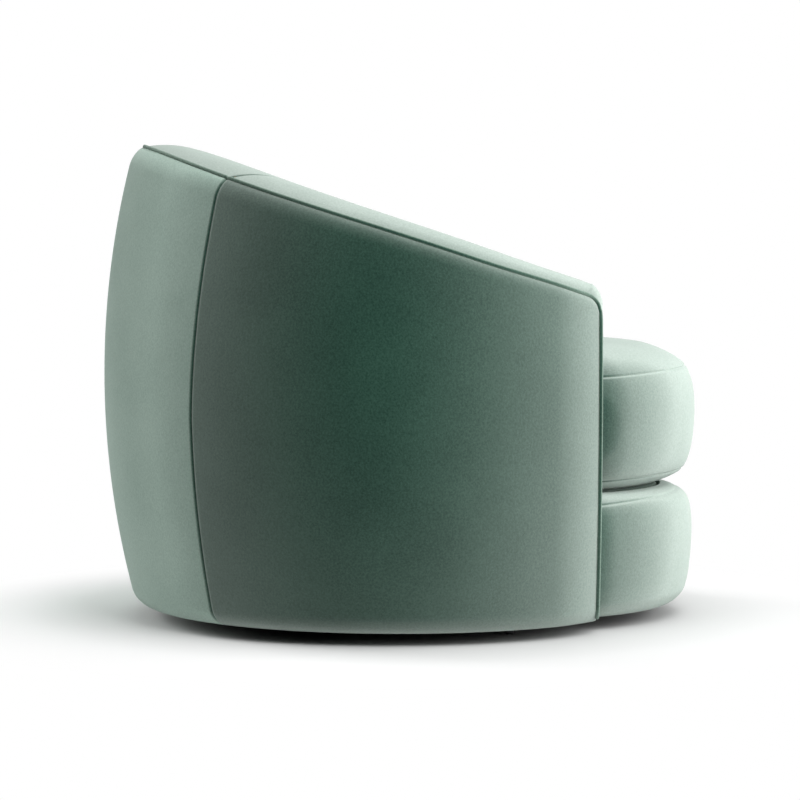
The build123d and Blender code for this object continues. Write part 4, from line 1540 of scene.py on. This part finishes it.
@dataclass(frozen=True)
class Lamp:
    """One soft square lamp.

    Attributes:
        name: Lamp name.
        place: Where it hangs, in metres.
        size: Edge length in metres.
        power: Power in watts.
    """

    name: str
    place: Tuple[float, float, float]
    size: float
    power: float

    def build(self, aim: Tuple[float, float, float]) -> None:
        """Hangs the lamp.

        Args:
            aim: Point that it shines at, in metres.
        """
        data = bpy.data.lights.new(self.name, "AREA")
        data.shape = "SQUARE"
        data.size = self.size
        data.energy = self.power
        made = bpy.data.objects.new(self.name, data)
        made.location = self.place
        made.rotation_mode = "QUATERNION"
        made.rotation_quaternion = (Vector(aim) - Vector(self.place)).to_track_quat("-Z", "Y")
        bpy.context.scene.collection.objects.link(made)


LAMPS = (
    Lamp("overhead_lamp", (0.0, 0.0, 3.0), 2.4, 20.0),
    Lamp("upper_side_lamp", (-2.2, -1.0, 2.5), 1.6, 54.0),
    Lamp("near_front_lamp", (-1.6, -2.9, 1.2), 1.8, 54.0),
    Lamp("high_front_lamp", (-1.4, -2.4, 2.2), 1.6, 18.0),
    Lamp("low_front_lamp", (0.2, -3.3, 1.2), 1.8, 50.0),
    Lamp("far_rear_lamp", (1.65, 2.9, 1.2), 1.8, 128.0),
)


@dataclass
class Studio:
    """Floor, light and camera.

    Attributes:
        lamps: Every lamp.
        aim: Point that the lamps shine at, in metres.
        camera_back: Distance of the camera from the swivel axis, in metres.
        camera_height: Height of the camera, in metres.
        pitch_deg: How far the camera looks down.
        lens: Focal length for a 36 mm wide picture.
    """

    lamps: Tuple[Lamp, ...] = LAMPS
    aim: Tuple[float, float, float] = (0.0, 0.0, 0.35)
    camera_back: float = 4.606
    camera_height: float = 0.5935
    pitch_deg: float = 3.331
    lens: float = 135.68

    def camera(self) -> None:
        """Sets the camera at the chair's right, level with the crest."""
        data = bpy.data.cameras.new("camera")
        data.sensor_width = 36.0
        data.lens = self.lens
        data.clip_end = 100.0
        made = bpy.data.objects.new("camera", data)
        made.location = (-self.camera_back, 0.0, self.camera_height)
        pitch = math.radians(self.pitch_deg)
        heading = Vector((math.cos(pitch), 0.0, -math.sin(pitch)))
        made.rotation_mode = "QUATERNION"
        made.rotation_quaternion = heading.to_track_quat("-Z", "Y")
        bpy.context.scene.collection.objects.link(made)
        bpy.context.scene.camera = made

    @staticmethod
    def looking(tree: bpy.types.NodeTree) -> Any:
        """Adds the test for rays that show a surface: straight, mirrored or through glass.

        Args:
            tree: Node tree that gets the nodes.

        Returns:
            The output socket, 1 for such rays and 0 for others.
        """
        path = add_node(tree, "ShaderNodeLightPath")
        first = add_node(
            tree,
            "ShaderNodeMath",
            links={0: path.outputs["Is Camera Ray"], 1: path.outputs["Is Glossy Ray"]},
            operation="MAXIMUM",
        )
        second = add_node(
            tree,
            "ShaderNodeMath",
            links={0: first.outputs[0], 1: path.outputs["Is Transmission Ray"]},
            operation="MAXIMUM",
        )
        return second.outputs[0]

    def floor(self) -> None:
        """Lays a pale floor with a painted contact shadow near the chair, and a white world round
        it.
        """
        half = 30e3
        points = np.array([(-half, -half, 0), (half, -half, 0), (half, half, 0), (-half, half, 0)])
        made = mesh_object("floor", points, [(0, 1, 2, 3)])
        paint = bpy.data.materials.new("matt_white_floor")
        paint.use_nodes = True
        tree = paint.node_tree
        tree.nodes.clear()
        # Painted contact shadow: ambient occlusion darkens the floor's colour near the chair
        painted_contact_shadow = add_node(tree, "ShaderNodeAmbientOcclusion", {"Distance": 0.22}, samples=24)
        shade = ramp(tree, painted_contact_shadow.outputs["AO"], (0.0, "#C2C2C2"), (0.9, "#F2F2F2"))
        near = add_node(tree, "ShaderNodeBsdfDiffuse", links={"Color": shade})
        dim = add_node(tree, "ShaderNodeBsdfDiffuse", {"Color": linear("#CACACA")})
        white = add_node(tree, "ShaderNodeEmission", {"Color": WHITE, "Strength": 1.0})
        place = add_node(tree, "ShaderNodeTexCoord").outputs["Object"]
        reach = add_node(tree, "ShaderNodeVectorMath", links={0: place}, operation="LENGTH")
        far = add_node(
            tree,
            "ShaderNodeMapRange",
            {"From Min": 0.5, "From Max": 0.78},
            {"Value": reach.outputs["Value"]},
            interpolation_type="SMOOTHSTEP",
        )
        seen = mixed(tree, far.outputs["Result"], near.outputs[0], white.outputs[0])
        surface = mixed(tree, self.looking(tree), dim.outputs[0], seen)
        add_node(tree, "ShaderNodeOutputMaterial", links={"Surface": surface})
        made.data.materials.append(paint)
        world = bpy.data.worlds.new("white_studio")
        world.use_nodes = True
        tree = world.node_tree
        tree.nodes.clear()
        soft = add_node(tree, "ShaderNodeBackground", {"Color": WHITE, "Strength": 0.04})
        seen = add_node(tree, "ShaderNodeBackground", {"Color": WHITE, "Strength": 1.0})
        pick = mixed(tree, self.looking(tree), soft.outputs[0], seen.outputs[0])
        add_node(tree, "ShaderNodeOutputWorld", links={"Surface": pick})
        bpy.context.scene.world = world

    def build(self) -> None:
        """Builds the floor, the lamps and the camera."""
        self.floor()
        for lamp in self.lamps:
            lamp.build(self.aim)
        self.camera()
        bpy.context.scene.view_settings.view_transform = "Standard"


def main() -> None:
    """Builds the scene round the frame."""
    logging.basicConfig(level=logging.INFO, format="%(message)s")
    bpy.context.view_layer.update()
    Chair().build()
    SeatCushion().build()
    Mechanism().dress()
    Studio().build()


if __name__ == "__main__":
    main()
